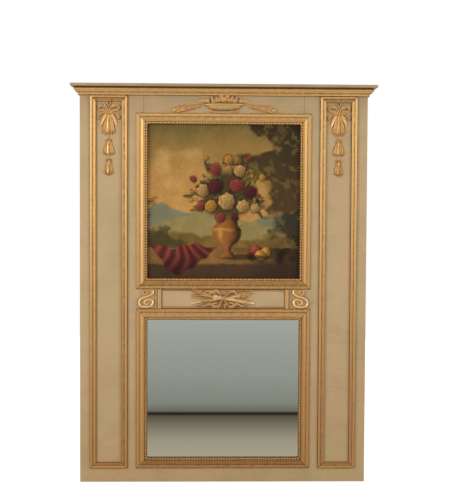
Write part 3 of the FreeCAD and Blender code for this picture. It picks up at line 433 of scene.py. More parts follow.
def finish(surface, upright=None):
    """The material of a surface, named for it and made when it is first asked for.

    The surface is a function that builds the nodes and gives the last one. Where it has a grain,
    upright says whether that stands or lies.
    """
    name = surface.__name__ + {None: "", True: "_upright", False: "_level"}[upright]
    if name not in bpy.data.materials:
        made = bpy.data.materials.new(name)
        made.use_nodes = True
        tree = made.node_tree
        tree.nodes.clear()
        shader = surface(tree) if upright is None else surface(tree, upright)
        add_node(tree, "OutputMaterial", {0: shader})
    return bpy.data.materials[name]


def opaque(rgb):
    """A colour with full alpha."""
    return (*rgb, 1)


def aged_oil_paint(tree):
    """Oil paint brushed on boards and aged.

    Thin paint shows brush marks about 2 mm apart and, in patches, a net of drying cracks about
    12 mm wide. It is darker near the floor, and painted shade darkens it under the cornice. A dark
    line of dirt shows where the joints between stiles and rails have opened, at the top more than
    near the floor. It lies matt, with a faint sheen.
    """
    tones = bpy.context.scene.trumeau_colours
    place = add_node(tree, "TexCoord").outputs["Object"]
    across, _, height = add_node(tree, "SeparateXYZ", {0: place}).outputs
    level = add_node(tree, "MapRange", {0: height, 2: 0.9}, interpolation_type="SMOOTHSTEP")
    clean_and_unshaded = add_node(tree, "Mix", {0: level, 6: opaque(tones.paint_low), 7: opaque(tones.paint)},
                     data_type="RGBA")
    drift = add_node(tree, "TexNoise", {"Vector": place, "Scale": 3.5})
    turned = add_node(tree, "MapRange", {0: drift, 1: 0.4, 2: 0.7, 4: 0.6})
    ground = add_node(tree, "Mix", {0: turned, 6: clean_and_unshaded, 7: opaque(tones.paint_olive)},
                      data_type="RGBA")
    patch = add_node(tree, "TexNoise", {"Vector": place, "Scale": 9.0, "Detail": 4.0})
    soiled = add_node(tree, "MapRange", {0: patch, 1: 0.45, 2: 0.8, 4: 0.16})
    stretch = add_node(tree, "Mapping", {0: place, 3: (0.05, 1.0, 1.0)})
    brush = add_node(tree, "TexNoise", {"Vector": stretch, "Scale": 420.0})
    brushed = add_node(tree, "MapRange", {0: brush, 1: 0.3, 2: 0.8, 4: 0.16})
    net = add_node(tree, "TexVoronoi", {"Vector": place, "Scale": 85.0},
                   feature="DISTANCE_TO_EDGE")
    cracks = add_node(tree, "MapRange", {0: net, 2: 0.05, 3: 1.0, 4: 0.0})
    patchy = add_node(tree, "Math", {0: cracks, 1: soiled}, operation="MULTIPLY")
    # Painted shade under the cornice: the paint darkens from 1.5 m up.
    shaded = add_node(tree, "MapRange", {0: height, 1: 1.5, 2: 1.66, 4: 0.22})
    reach = add_node(tree, "Math", {0: across}, operation="ABSOLUTE")
    off = add_node(tree, "Math", {0: reach, 1: JOINT}, operation="SUBTRACT")
    near = add_node(tree, "Math", {0: off}, operation="ABSOLUTE")
    line = add_node(tree, "MapRange", {0: near, 1: 0.0005, 2: 0.0014, 3: 1.0, 4: 0.0})
    dry = add_node(tree, "MapRange", {0: height, 1: 0.1, 2: 0.9, 4: 0.6})
    opened = add_node(tree, "Math", {0: line, 1: dry}, operation="MULTIPLY")
    # The darkening sums dirt patches, brush marks, cracks, painted shade under the cornice and open
    # joints.
    darkening = soiled
    for more in (brushed, patchy, shaded, opened):
        darkening = add_node(tree, "Math", {0: darkening, 1: more}, operation="ADD", use_clamp=True)
    tint = add_node(tree, "Mix", {0: darkening, 6: ground, 7: opaque(tones.paint_soil_and_shade)},
                    data_type="RGBA")
    bump = add_node(tree, "Bump", {"Height": darkening, "Strength": 0.2, "Distance": 0.0005},
                    invert=True)
    shine = add_node(tree, "MapRange", {0: patch, 3: 0.5, 4: 0.72})
    return add_node(tree, "BsdfPrincipled", {"Base Color": tint, "Roughness": shine,
                                             "Normal": bump, "IOR": 1.48})


def bare_pine(tree, upright):
    """Sawn pine, never painted: grain lines about 4 mm apart along the board, matt and dusty."""
    tones = bpy.context.scene.trumeau_colours
    place = add_node(tree, "TexCoord").outputs["Object"]
    squeeze = (1.0, 1.0, 0.04) if upright else (0.04, 1.0, 1.0)
    along = add_node(tree, "Mapping", {0: place, 3: squeeze})
    grain = add_node(tree, "TexNoise", {"Vector": along, "Scale": 120.0, "Detail": 3.0,
                                        "Distortion": 0.6})
    fibre = add_node(tree, "TexNoise", {"Vector": along, "Scale": 900.0})
    rings = add_node(tree, "MapRange", {0: grain, 1: 0.4, 2: 0.65})
    both = add_node(tree, "Math", {0: rings, 1: fibre}, operation="MULTIPLY")
    tint = add_node(tree, "Mix", {0: both, 6: opaque(tones.wood), 7: opaque(tones.wood_dark)},
                    data_type="RGBA")
    bump = add_node(tree, "Bump", {"Height": fibre, "Strength": 0.2, "Distance": 0.0005})
    return add_node(tree, "BsdfPrincipled", {"Base Color": tint, "Normal": bump, "Roughness": 0.8})


def painted_board(tree, upright):
    """Boards painted on the front and the outer edges and left bare behind."""
    place = add_node(tree, "TexCoord").outputs["Object"]
    across, away, _ = add_node(tree, "SeparateXYZ", {0: place}).outputs
    front = add_node(tree, "Math", {0: away, 1: BOARD + PAINT_EDGE}, operation="LESS_THAN")
    reach = add_node(tree, "Math", {0: across}, operation="ABSOLUTE")
    edge = add_node(tree, "Math", {0: reach, 1: HALF_BODY - PAINT_EDGE}, operation="GREATER_THAN")
    either = add_node(tree, "Math", {0: front, 1: edge}, operation="MAXIMUM")
    return add_node(tree, "MixShader", {0: either, 1: bare_pine(tree, upright),
                                        2: aged_oil_paint(tree)})


def gold_leaf_on_bole(tree):
    """Water gilding: gold leaf on clay ground over carved wood.

    Crests are rubbed bright and take a painted highlight; hollows and feet hold brown dirt and
    painted shade and show the red-brown clay; leaf joins and scuffs break it up every 10 to 30 mm.
    It is darker towards the floor. It is a satin metal, not a mirror.
    """
    tones = bpy.context.scene.trumeau_colours
    place = add_node(tree, "TexCoord").outputs["Object"]
    height = add_node(tree, "SeparateXYZ", {0: place}).outputs[2]
    level = add_node(tree, "MapRange", {0: height, 1: 0.1, 2: 1.5})
    leaf = add_node(tree, "Mix", {0: level, 6: opaque(tones.gold_low), 7: opaque(tones.gold)},
                    data_type="RGBA")
    lift = add_node(tree, "Attribute", attribute_name="lift").outputs["Fac"]
    scuff = add_node(tree, "TexNoise", {"Vector": place, "Scale": 60.0, "Detail": 5.0,
                                        "Roughness": 0.65})
    uneven = add_node(tree, "MapRange", {0: scuff, 1: 0.3, 2: 0.7, 3: -0.13, 4: 0.13})
    lift_shade = add_node(tree, "Math", {0: lift, 1: uneven}, operation="ADD")
    # Low lift takes the bole's tone: dirt and painted shade in hollows and at the feet.
    clean_and_unshaded = add_node(tree, "MapRange", {0: lift_shade, 1: 0.05, 2: 0.7}, interpolation_type="SMOOTHSTEP")
    # High lift takes the pale crest gold: rubbed leaf and a painted highlight.
    rubbed_and_highlit = add_node(tree, "MapRange", {0: lift_shade, 1: 1.0, 2: 1.3})
    bright = add_node(tree, "Mix", {0: rubbed_and_highlit, 6: leaf, 7: opaque(tones.gold_crest_highlight)},
                      data_type="RGBA")
    tint = add_node(tree, "Mix", {0: clean_and_unshaded, 6: opaque(tones.bole_and_shade), 7: bright}, data_type="RGBA")
    rough = add_node(tree, "MapRange", {0: lift_shade, 2: 1.3, 3: 0.62, 4: 0.34})
    bump = add_node(tree, "Bump", {"Height": scuff, "Strength": 0.3, "Distance": 0.0008})
    return add_node(tree, "BsdfPrincipled", {"Base Color": tint, "Roughness": rough,
                                             "Normal": bump, "Metallic": 0.5})


def silvered_plate_glass(tree):
    """Old plate glass silvered on the back: a clear reflection, a little grey-green and soft."""
    place = add_node(tree, "TexCoord").outputs["Object"]
    haze = add_node(tree, "TexNoise", {"Vector": place, "Scale": 7.0})
    soft = add_node(tree, "MapRange", {0: haze, 3: 0.01, 4: 0.035})
    silver = opaque(bpy.context.scene.trumeau_colours.silver)
    return add_node(tree, "BsdfPrincipled", {"Base Color": silver, "Roughness": soft,
                                             "Metallic": 1.0})


def forged_steel_dark(tree):
    """Hand-forged steel, dark with age: satin, pitted every 2 mm or so, brown in the pits."""
    tones = bpy.context.scene.trumeau_colours
    place = add_node(tree, "TexCoord").outputs["Object"]
    pits = add_node(tree, "TexNoise", {"Vector": place, "Scale": 420.0, "Detail": 3.0})
    rust = add_node(tree, "MapRange", {0: pits, 1: 0.5, 2: 0.7, 4: 0.7})
    tint = add_node(tree, "Mix", {0: rust, 6: opaque(tones.steel), 7: opaque(tones.bole_and_shade)},
                    data_type="RGBA")
    rough = add_node(tree, "MapRange", {0: pits, 3: 0.35, 4: 0.65})
    bump = add_node(tree, "Bump", {"Height": pits, "Strength": 0.3, "Distance": 0.0004})
    return add_node(tree, "BsdfPrincipled", {"Base Color": tint, "Roughness": rough,
                                             "Normal": bump, "Metallic": 0.85})


def oil_on_linen(tree):
    """Oil paint on linen under old varnish that has sunk in, so little of it shines.

    The picture comes from the piece's own colour attribute. Threads 1.2 mm apart, drawn a little
    coarser than real so that they show, and fine age cracks some 9 mm apart shape the surface.
    """
    place = add_node(tree, "TexCoord").outputs["Object"]
    picture = add_node(tree, "Attribute", attribute_name="picture").outputs["Color"]
    net = add_node(tree, "TexVoronoi", {"Vector": place, "Scale": 110.0},
                   feature="DISTANCE_TO_EDGE")
    cracks = add_node(tree, "MapRange", {0: net, 2: 0.04, 3: 0.3, 4: 0.0})
    tint = add_node(tree, "Mix", {0: cracks, 6: picture, 7: opaque(linear("2a1f14"))},
                    data_type="RGBA")
    warp, weft = (add_node(tree, "TexWave", {"Vector": place, "Scale": 130.0},
                           bands_direction=axis).outputs["Fac"] for axis in "XZ")
    weave = add_node(tree, "Math", {0: warp, 1: weft}, operation="ADD")
    bump = add_node(tree, "Bump", {"Height": weave, "Strength": 0.12, "Distance": 0.0004})
    return add_node(tree, "BsdfPrincipled", {
        "Base Color": tint, "Normal": bump, "Roughness": 0.5, "Specular IOR Level": 0.2,
        "Coat Weight": 0.06, "Coat Roughness": 0.3})


# ---------------------------------------------------------------- the picture

def noise(shape, cells, seed, octaves=4):
    """Smooth noise from -1 to 1, the same for the same seed.

    Random values on a lattice are blended; each octave has cells half as large and counts half.
    """
    rng = np.random.default_rng(seed)
    total, weight = np.zeros(shape), 0.0
    rows, columns = (np.linspace(0, 1, n) for n in shape)
    for octave in range(octaves):
        size = cells * 2 ** octave
        lattice = rng.uniform(-1, 1, (size + 2, size + 2))
        r, c = rows * size, columns * size
        i, j = r.astype(int), c.astype(int)
        u, v = (r - i)[:, None], (c - j)[None, :]
        u, v = u * u * (3 - 2 * u), v * v * (3 - 2 * v)
        a, b = lattice[np.ix_(i, j)], lattice[np.ix_(i, j + 1)]
        d, e = lattice[np.ix_(i + 1, j)], lattice[np.ix_(i + 1, j + 1)]
        total += 0.5 ** octave * ((a * (1 - v) + b * v) * (1 - u) + (d * (1 - v) + e * v) * u)
        weight += 0.5 ** octave
    return total / weight


def step(value, low, high):
    """0 below low, 1 above high, and a smooth rise between."""
    t = np.clip((value - low) / (high - low), 0, 1)
    return t * t * (3 - 2 * t)


def over(picture, tone, mask):
    """Lays a colour, or a field of colours, over the picture where the mask is 1."""
    return picture * (1 - mask[..., None]) + np.asarray(tone) * mask[..., None]


PIGMENTS = {name: np.array(linear(code)) for name, code in {
    "sky": "ba9056", "high_sky": "71653a", "mist": "e3c48c", "far_hill": "8f8355",
    "blue_hill": "64756a", "meadow": "75602f", "dark": "241c12", "leaf": "3a3a20",
    "lit_leaf": "6e6632", "stone": "86663a", "stone_dark": "3f2e21", "clay": "96602f",
    "clay_dark": "37200f", "rose": "97463a", "plum": "5a2329", "cream": "c3a067",
    "teal": "35685c", "gold": "c4923f", "shade": "1d160e"}.items()}


def flower_picture(rows, columns):
    """Colours of the picture: an urn of flowers on a ledge before far hills, in linear light.

    u runs from 0 at the left to 1 at the right and v from 0 at the bottom to 1 at the top. Both
    are shaken by noise, so that every edge is as uneven as a brush leaves it.
    """
    v, u = np.meshgrid(np.linspace(0, 1, rows), np.linspace(0, 1, columns), indexing="ij")
    shape = (rows, columns)
    u = u + 0.006 * noise(shape, 28, 1) + 0.003 * noise(shape, 90, 2, 2)
    v = v + 0.006 * noise(shape, 28, 3) + 0.003 * noise(shape, 90, 4, 2)
    picture = landscape(u, v, shape)
    picture = ledge(picture, u, v, shape)
    picture = bouquet(urn(picture, u, v), u, v)
    return varnished(picture, u, v)


def landscape(u, v, shape):
    """A warm sky over blue hills and a meadow, with a dark wood at the right."""
    tone = PIGMENTS
    wisps = noise(shape, 4, 5)
    height = step(v + 0.14 * wisps, 0.45, 1.05)
    picture = tone["sky"] + (tone["high_sky"] - tone["sky"]) * height[..., None]
    bank = step(noise(shape, 5, 8) + 0.9 - 2.2 * np.hypot(u - 0.22, 1.3 * (v - 0.62)), 0.3, 1.1)
    picture = over(picture, tone["mist"], 0.6 * bank)
    ridge = 0.43 + 0.045 * np.sin(7 * u + 0.4) + 0.02 * np.sin(19 * u) + 0.02 * noise(shape, 9, 9)
    picture = over(picture, tone["blue_hill"], 0.85 * step(ridge - v, 0, 0.02))
    low = 0.385 + 0.05 * np.cos(6 * u - 2.4) + 0.02 * noise(shape, 12, 10)
    picture = over(picture, tone["far_hill"], 0.9 * step(low - v, 0, 0.02))
    field = 0.31 + 0.03 * np.cos(4 * u + 0.5) + 0.02 * noise(shape, 14, 11)
    rows = tone["meadow"] * (1 + 0.45 * noise(shape, 18, 12)[..., None])
    picture = over(picture, rows, step(field - v, 0, 0.02))
    crown = noise(shape, 7, 13) + 2.0 * (u - 0.74) + 0.9 * (v - 0.55)
    picture = over(picture, tone["dark"], 0.88 * step(crown, 0.0, 0.3))
    lit = step(noise(shape, 30, 14), 0.12, 0.45) * step(crown, 0.02, 0.35)
    picture = over(picture, tone["lit_leaf"], 0.65 * lit)
    bush = noise(shape, 9, 15) + 2.6 * (0.16 - u) + 2.2 * (0.34 - v)
    picture = over(picture, tone["leaf"], 0.8 * step(bush, 0.0, 0.25))
    glints = step(noise(shape, 24, 16), 0.15, 0.5) * step(bush, 0.05, 0.4)
    return over(picture, tone["teal"], 0.35 * glints)


def ledge(picture, u, v, shape):
    """A stone ledge, a plum cloth thrown over it, and fruit."""
    tone = PIGMENTS
    light = 1 + 0.4 * noise(shape, 14, 17) - 0.75 * step(u, 0.35, 1)
    picture = over(picture, tone["stone"] * light[..., None], step(0.215 - v, 0, 0.008))
    picture = over(picture, tone["stone_dark"], 0.88 * step(0.12 - v, 0, 0.02))
    top = 0.228 + 0.012 * np.sin(23 * u + 0.6) + 0.006 * np.sin(61 * u)
    bottom = 0.03 + np.where(u < 0.2, 2.1, 1.0) * np.abs(u - 0.2) ** 1.3 + 0.008 * np.sin(75 * u)
    cloth = step(top - v, 0, 0.008) * step(v - bottom, 0, 0.012)
    fan = np.arctan2(u - 0.24, 0.36 - v)
    folds = (0.5 + 0.5 * np.sin(21 * fan + 1.6 * np.sin(26 * v + 3 * u))) ** 1.5
    silk = tone["plum"] + (tone["rose"] - tone["plum"]) * folds[..., None]
    fade = (0.35 + 0.65 * step(v, 0.06, 0.22)) * (1.1 - 1.1 * u)
    picture = over(picture, silk * fade[..., None], cloth)
    for x, y, radius, name in ((0.7, 0.2, 0.036, "rose"), (0.765, 0.185, 0.032, "gold"),
                               (0.73, 0.165, 0.034, "gold"), (0.665, 0.165, 0.022, "plum")):
        lit = np.hypot(u - x + 0.35 * radius, v - y - 0.35 * radius) / radius
        cast = np.hypot(u - x - 0.012, v - y + 0.012) / radius
        skin = tone[name] * (0.3 + np.clip(1 - 0.9 * lit, 0.1, 1))[..., None]
        picture = over(picture, tone["shade"], 0.5 * step(1.25 - cast, 0, 0.3))
        picture = over(picture, skin, step(1 - np.hypot(u - x, v - y) / radius, 0, 0.12))
    return picture


def urn(picture, u, v):
    """A clay urn on the ledge, its half width a smooth function of height, lit from the left."""
    tone = PIGMENTS
    levels = [0.15, 0.162, 0.185, 0.215, 0.27, 0.325, 0.36, 0.38, 0.395]
    halves = [0.066, 0.062, 0.026, 0.03, 0.088, 0.1, 0.074, 0.066, 0.084]
    half = np.interp(v, levels, halves)
    across = (u - 0.52) / half
    inside = step(1 - abs(across), 0, 0.1) * step(v, 0.148, 0.154) * step(0.4 - v, 0, 0.006)
    shade = np.clip(0.95 - 0.8 * (across + 0.38) ** 2, 0.04, 1)
    clay = tone["clay_dark"] + (tone["clay"] - tone["clay_dark"]) * shade[..., None]
    cast = step(1 - ((u - 0.62) / 0.19) ** 2 - ((v - 0.152) / 0.02) ** 2, 0, 0.6)
    picture = over(over(picture, tone["shade"], 0.7 * cast), clay, inside)
    band = step(1 - abs(v - 0.325) / 0.012, 0, 0.5) * inside
    picture = over(picture, tone["gold"] * shade[..., None], 0.6 * band)
    glint = np.exp(-((across + 0.45) / 0.14) ** 2 - ((v - 0.3) / 0.04) ** 2)
    return over(picture, tone["cream"], 0.55 * glint * inside)


def bouquet(picture, u, v):
    """Leaves, then round many-petalled flowers, the nearest painted last."""
    tone = PIGMENTS
    rng = np.random.default_rng(21)
    mass = step(1 - np.hypot((u - 0.52) / 0.19, (v - 0.54) / 0.18), 0, 0.35)
    picture = over(picture, tone["dark"], 0.85 * mass)
    for _ in range(60):
        angle, reach = rng.uniform(-0.5, math.pi + 0.5), rng.uniform(0.06, 0.25)
        x, y = 0.52 + reach * math.cos(angle), 0.52 + 0.95 * reach * math.sin(angle)
        bend = angle + rng.uniform(-0.6, 0.6)
        along = (u - x) * math.cos(bend) + (v - y) * math.sin(bend)
        aside = -(u - x) * math.sin(bend) + (v - y) * math.cos(bend)
        mask = step(1 - (along / 0.042) ** 2 - ((aside + 3 * along ** 2) / 0.013) ** 2, 0, 0.5)
        mix = rng.uniform(0.0, 0.9)
        green = tone["leaf"] * (1 - mix) + tone["lit_leaf"] * mix
        lit = 0.6 + 0.9 * step(aside, -0.004, 0.01)[..., None]
        picture = over(picture, green * lit, 0.9 * mask)
    blooms = (
        (0.37, 0.57, 0.045, "cream"), (0.67, 0.56, 0.045, "plum"), (0.45, 0.7, 0.04, "rose"),
        (0.6, 0.69, 0.042, "cream"), (0.53, 0.76, 0.034, "gold"), (0.36, 0.47, 0.034, "rose"),
        (0.7, 0.46, 0.034, "cream"), (0.45, 0.59, 0.052, "plum"), (0.58, 0.6, 0.05, "rose"),
        (0.42, 0.47, 0.042, "gold"), (0.62, 0.47, 0.046, "cream"), (0.52, 0.5, 0.06, "cream"),
        (0.31, 0.64, 0.022, "rose"), (0.74, 0.65, 0.024, "gold"), (0.48, 0.4, 0.034, "rose"),
        (0.57, 0.405, 0.026, "plum"), (0.39, 0.77, 0.018, "gold"), (0.66, 0.77, 0.02, "rose"),
    )
    small = []
    for name in ("cream", "gold", "rose", "cream", "plum", "gold") * 3:
        angle, reach = rng.uniform(-0.35, math.pi + 0.35), rng.uniform(0.15, 0.25)
        small.append((0.52 + reach * math.cos(angle), 0.53 + reach * math.sin(angle),
                      rng.uniform(0.009, 0.017), name))
    for x, y, radius, name in tuple(small) + blooms:
        r = np.hypot(u - x, v - y) / radius
        a = np.arctan2(v - y, u - x)
        frill = 1 - 0.13 * np.abs(np.sin(3.5 * a + 7 * x))
        folds = 0.5 + 0.5 * np.cos(13 * r + 2.6 * np.sin(3 * a + 9 * y))
        light = np.clip(0.62 - 0.5 * (u - x) / radius + 0.4 * (v - y) / radius, 0.08, 1.5)
        petals = tone[name] * (0.2 + 0.8 * light * (0.45 + 0.55 * folds))[..., None]
        picture = over(picture, tone["shade"], 0.6 * step(1.22 - r, 0, 0.3))
        picture = over(picture, petals, step(frill - r, 0, 0.12))
    return picture


def varnished(picture, u, v):
    """Brush marks, a darker rim and the yellow of old varnish."""
    marks = 1 + 0.14 * noise(u.shape, 22, 31, 3) + 0.06 * noise(u.shape, 90, 32, 1)
    rim = 1 - 0.4 * np.clip(np.hypot(u - 0.45, v - 0.55) * 1.4, 0, 1) ** 3
    return np.clip(picture * (marks * rim)[..., None] * np.array([1.16, 1.02, 0.8]), 0, 1)


# ---------------------------------------------------------------- profiles

def middle_profile(sizes, width, rise):
    """Section of the frames round the painting and the mirror, up to the row of beads.

    Its corners are (distance from the outer edge, height, lift): a strip with a softened edge, a
    groove, a cove that rises to a narrow ridge, and the ledge under the beads. The lifts paint
    shade at the outer foot, in the groove and on the ledge under the beads, and brighten the cove
    as it rises.
    """
    strip, top = sizes.strip_width, sizes.strip_rise
    floor = top - sizes.quirk
    sight = width - SIGHT_LIP
    ridge = sight - sizes.bead_width
    shoulder = arc((0.0014, top - 0.004), (0.005, top), -0.001, 5)
    cove = arc((strip + sizes.quirk, floor), (ridge - sizes.ridge, rise), -0.0035,
               sizes.segments + 4)
    corners = [(0, 0, 0), (0, 0.001, 0), (0.0012, 0.0012, 0), (0.0013, 0.004, 0.1)]
    corners += [(d, h, 0.5 + 60 * d) for d, h in shoulder]
    corners += [(0.006, top, 0.9), (strip - 0.001, top, 0.8), (strip, top - 0.0008, 0.5),
                (strip, floor, 0)]
    corners += [(d, h, lift)
                for (d, h), lift in zip(cove, np.linspace(0.2, 1, len(cove)) ** 0.35)]
    corners += [(ridge, rise, 0.95), (ridge, sizes.bead_foot, 0.1), (sight, sizes.bead_foot, 0.05),
                (width, sizes.bead_foot - 0.001, 0.4), (width, 0, 0)]
    return np.array(corners)


def pilaster_profile(sizes):
    """Section of the pilaster frames: a large round, a hollow and a flat that slopes away."""
    count = sizes.segments
    hollow = sizes.round_width
    flat = hollow + sizes.hollow_width
    end = flat + sizes.inner_flat
    # The round's lift rises to a painted highlight on its top; the feet take painted shade.
    swell = [(0.0014 + (hollow - 0.0014) / 2 * (1 - math.cos(t)), 0.005 + 0.005 * math.sin(t),
              0.2 + 0.8 * math.sin(t)) for t in np.linspace(0, math.pi, count + 3)]
    dip = arc((hollow, 0.005), (flat, 0.008), -0.002, count)
    corners = [(0, 0, 0), (0, 0.001, 0), (0.0013, 0.0012, 0)] + swell
    corners += [(d, h, 0.5 + 0.2 * t) for (d, h), t in zip(dip[1:], np.linspace(0, 1, count)[1:])]
    corners += [(flat + 0.0008, 0.0085, 0.8), (end - 0.002, 0.0085, 0.75),
                (end - 0.0014, 0.007, 0.3), (end - 0.0013, 0.0012, 0), (end, 0.001, 0), (end, 0, 0)]
    return np.array(corners)


def tablet_profile(segments, width, rise):
    """Section of the tablet's mouldings: a half round that stands on a low foot."""
    foot = 0.35 * rise
    swell = [(0.0012 + (width / 2 - 0.0012) * (1 - math.cos(t)), foot + (rise - foot) * math.sin(t),
              0.1 + 0.65 * math.sin(t)) for t in np.linspace(0, math.pi, 2 * segments)]
    return np.array([(0, 0, 0), (0, 0.001, 0)] + swell + [(width, 0.001, 0), (width, 0, 0)])


def cornice_profile(reach):
    """Section of the cornice downwards from its cap: a groove, an ovolo, a cove and a fillet."""
    # The ovolo's lift: painted shade in the groove under the cap, a painted highlight below it,
    # duller again lower down. The fillet ends in a dark line of painted shade.
    ovolo_shading = np.interp(np.linspace(0, 1, 10), (0, 0.15, 0.35, 0.7, 1), (0, 0.2, 0.65, 1, 0.6))
    ovolo = arc((0.0004, 0.005), (0.0074, 0.019), 0.003, 10)
    cove = arc((0.0074, 0.022), (0.0174, 0.030), -0.0025, 8)
    corners = [(reach, 0, 0), (0.0054, 0, 0), (0.0054, 0.005, 0)]
    corners += [(d, h, lift) for (d, h), lift in zip(ovolo, ovolo_shading)]
    corners += [(d, h, 0.42 + 20 * (h - 0.022)) for d, h in cove]
    corners += [(0.0174, 0.0305, 0.75), (0.0174, 0.0335, 0.7), (0.0174, 0.0338, 0),
                (0.0174, 0.035, 0), (reach, 0.035, 0)]
    return np.array(corners)


# Direction and inward axis of a frame's members: top, right, bottom and left.
MEMBER_AXES = (((1, 0, 0), (0, 0, -1)), ((0, 0, -1), (-1, 0, 0)), ((-1, 0, 0), (0, 0, 1)),
               ((0, 0, 1), (1, 0, 0)))


def frame_members(prefix, names):
    """Name, spot, direction, inward axis, run, width and rise of each member, from its CAD box."""
    for name, (along, inward) in zip(names, MEMBER_AXES):
        low, high = corners_of(f"{prefix}_{name}")
        inward = np.array(inward)
        spot = (low + high) / 2 - inward * (high - low) / 2
        spot[1] = BOARD
        run = float(abs(np.dot(high - low, along)))
        width = float(abs(np.dot(high - low, inward)))
        yield f"{prefix}_{name}", spot, along, inward, run, width, float(BOARD - low[1])


# ---------------------------------------------------------------- operators

class TRUMEAU_OT_boards(bpy.types.Operator):
    """Paints the boards and cap, and leaves battens, stretcher and keepers as bare pine"""
    bl_idname = "trumeau.boards"
    bl_label = "Boards"

    def execute(self, context):
        dress(("left_stile", "right_stile"), finish(painted_board, True))
        dress(("bottom_rail", "middle_rail", "top_rail"), finish(painted_board, False))
        dress(("cornice_cap",), finish(aged_oil_paint))
        dress(("left_back_batten", "right_back_batten", "stretcher_left", "stretcher_right"),
              finish(bare_pine, True))
        dress(("top_back_batten", "bottom_back_batten", "stretcher_top", "stretcher_bottom",
               "stretcher_keys", "painting_keepers", "mirror_keepers", "mirror_backing_board"),
              finish(bare_pine, False))
        return {"FINISHED"}


class TRUMEAU_OT_middle_frames(bpy.types.Operator):
    """Frames round the painting and the mirror, with a row of beads at the sight edge"""
    bl_idname = "trumeau.middle_frames"
    bl_label = "Middle frames"

    def execute(self, context):
        sizes = context.scene.trumeau_mouldings
        for prefix in ("painting_frame", "mirror_frame"):
            for name, spot, along, inward, run, width, rise in frame_members(
                    prefix, ("top", "right", "bottom", "left")):
                # Painted shade dims the gilding of the top and bottom members, and a little the
                # sides.
                lift_shade = (1, 1, MIDDLE_SHADE[name.split("_")[-1]])
                profile = middle_profile(sizes, width, rise) * lift_shade
                inset = width - SIGHT_LIP - sizes.bead_width / 2
                seat = spot + inward * inset + np.array(OUT) * sizes.bead_foot
                row = beads(seat, along, OUT, run - 2 * inset, sizes.bead_width * 0.96,
                            sizes.bead_pitch, sizes.bead_rise)
                shape = joined([moulding(profile, spot, along, inward, OUT, run), row])
                add_gilding(name, shape)
        return {"FINISHED"}


class TRUMEAU_OT_pilaster_frames(bpy.types.Operator):
    """Tall frames of the two side panels"""
    bl_idname = "trumeau.pilaster_frames"
    bl_label = "Pilaster frames"

    def execute(self, context):
        profile = pilaster_profile(context.scene.trumeau_mouldings)
        for side, names in (("left", ("top", "inner", "bottom", "outer")),
                            ("right", ("top", "outer", "bottom", "inner"))):
            for name, spot, along, inward, run, _, _ in frame_members(f"{side}_pilaster", names):
                # Painted shade dims the gilding of the inner, top and bottom members.
                lift_shade = (1, 1, PILASTER_SHADE[name.split("_")[-1]])
                add_gilding(name, moulding(profile * lift_shade, spot, along, inward, OUT, run))
        return {"FINISHED"}


class TRUMEAU_OT_tablet(bpy.types.Operator):
    """Rounds along the four edges of the tablet"""
    bl_idname = "trumeau.tablet"
    bl_label = "Tablet mouldings"

    def execute(self, context):
        segments = context.scene.trumeau_mouldings.segments
        for name, spot, along, inward, run, width, rise in frame_members(
                "tablet", ("top_edge", "right_end", "bottom_edge", "left_end")):
            profile = tablet_profile(segments, width, rise)
            shape = moulding(profile, spot, along, inward, OUT, run, (False, False))
            add_gilding(name, shape)
        return {"FINISHED"}


class TRUMEAU_OT_cornice(bpy.types.Operator):
    """Bed mould of the cornice and its two returns"""
    bl_idname = "trumeau.cornice"
    bl_label = "Cornice"

    def execute(self, context):
        low, high = corners_of("cornice_front")
        profile = cornice_profile(float(high[1] - low[1]))
        width, down = float(high[0] - low[0]), (0, 0, -1)
        front = moulding(profile, (0, low[1], high[2]), (1, 0, 0), (0, 1, 0), down, width)
        add_gilding("cornice_front", front)
        for side, sign in SIDES:
            spot = (sign * width / 2, low[1] / 2, high[2])
            shape = moulding(profile, spot, (0, -sign, 0), (-sign, 0, 0), down, -low[1],
                             (sign < 0, sign > 0))
            add_gilding(f"cornice_{side}_return", shape)
        return {"FINISHED"}


def bowl_shape():
    """The shallow bowl: half width and rise against height, with a thick flat rim."""
    hull = [(28, 9, -29), (44, 14, -27.5), (60, 18, -23), (72, 21, -16), (79, 23, -9), (82, 24, -7)]
    rim = [(84, 23.5, -6.8), (86, 24.5, -6.5), (88, 25.5, -4), (88, 25.5, -1.5), (86, 24.5, 0),
           (60, 14, 0.5)]
    points, faces, lift = relief(hull + rim, 33)
    # Lift scaled with height, as painted shade and highlight: darker towards the foot, dark where
    # the hull meets the rim and at the rim's top under the flowers, bright on the rim's face.
    darkening = np.interp(points[:, 2] * 1000, (-29, -20, -9, -7, -6.2, -3, 0),
                     (0.25, 0.45, 0.6, 0.2, 0.8, 0.6, 0.1))
    return points, faces, np.maximum(lift, 0.6) * darkening


# Place in millimetres from the middle of the bowl's rim, size and number of petals of each head.
BOWL_HEADS = ((-44, 7, 0.85, 5), (-24, 12, 1.0, 6), (0, 15, 1.05, 5), (24, 12, 1.0, 6),
              (45, 8, 0.9, 5), (-12, 27, 0.8, 5), (13, 28, 0.8, 6), (-33, 23, 0.6, 5),
              (34, 24, 0.62, 5))


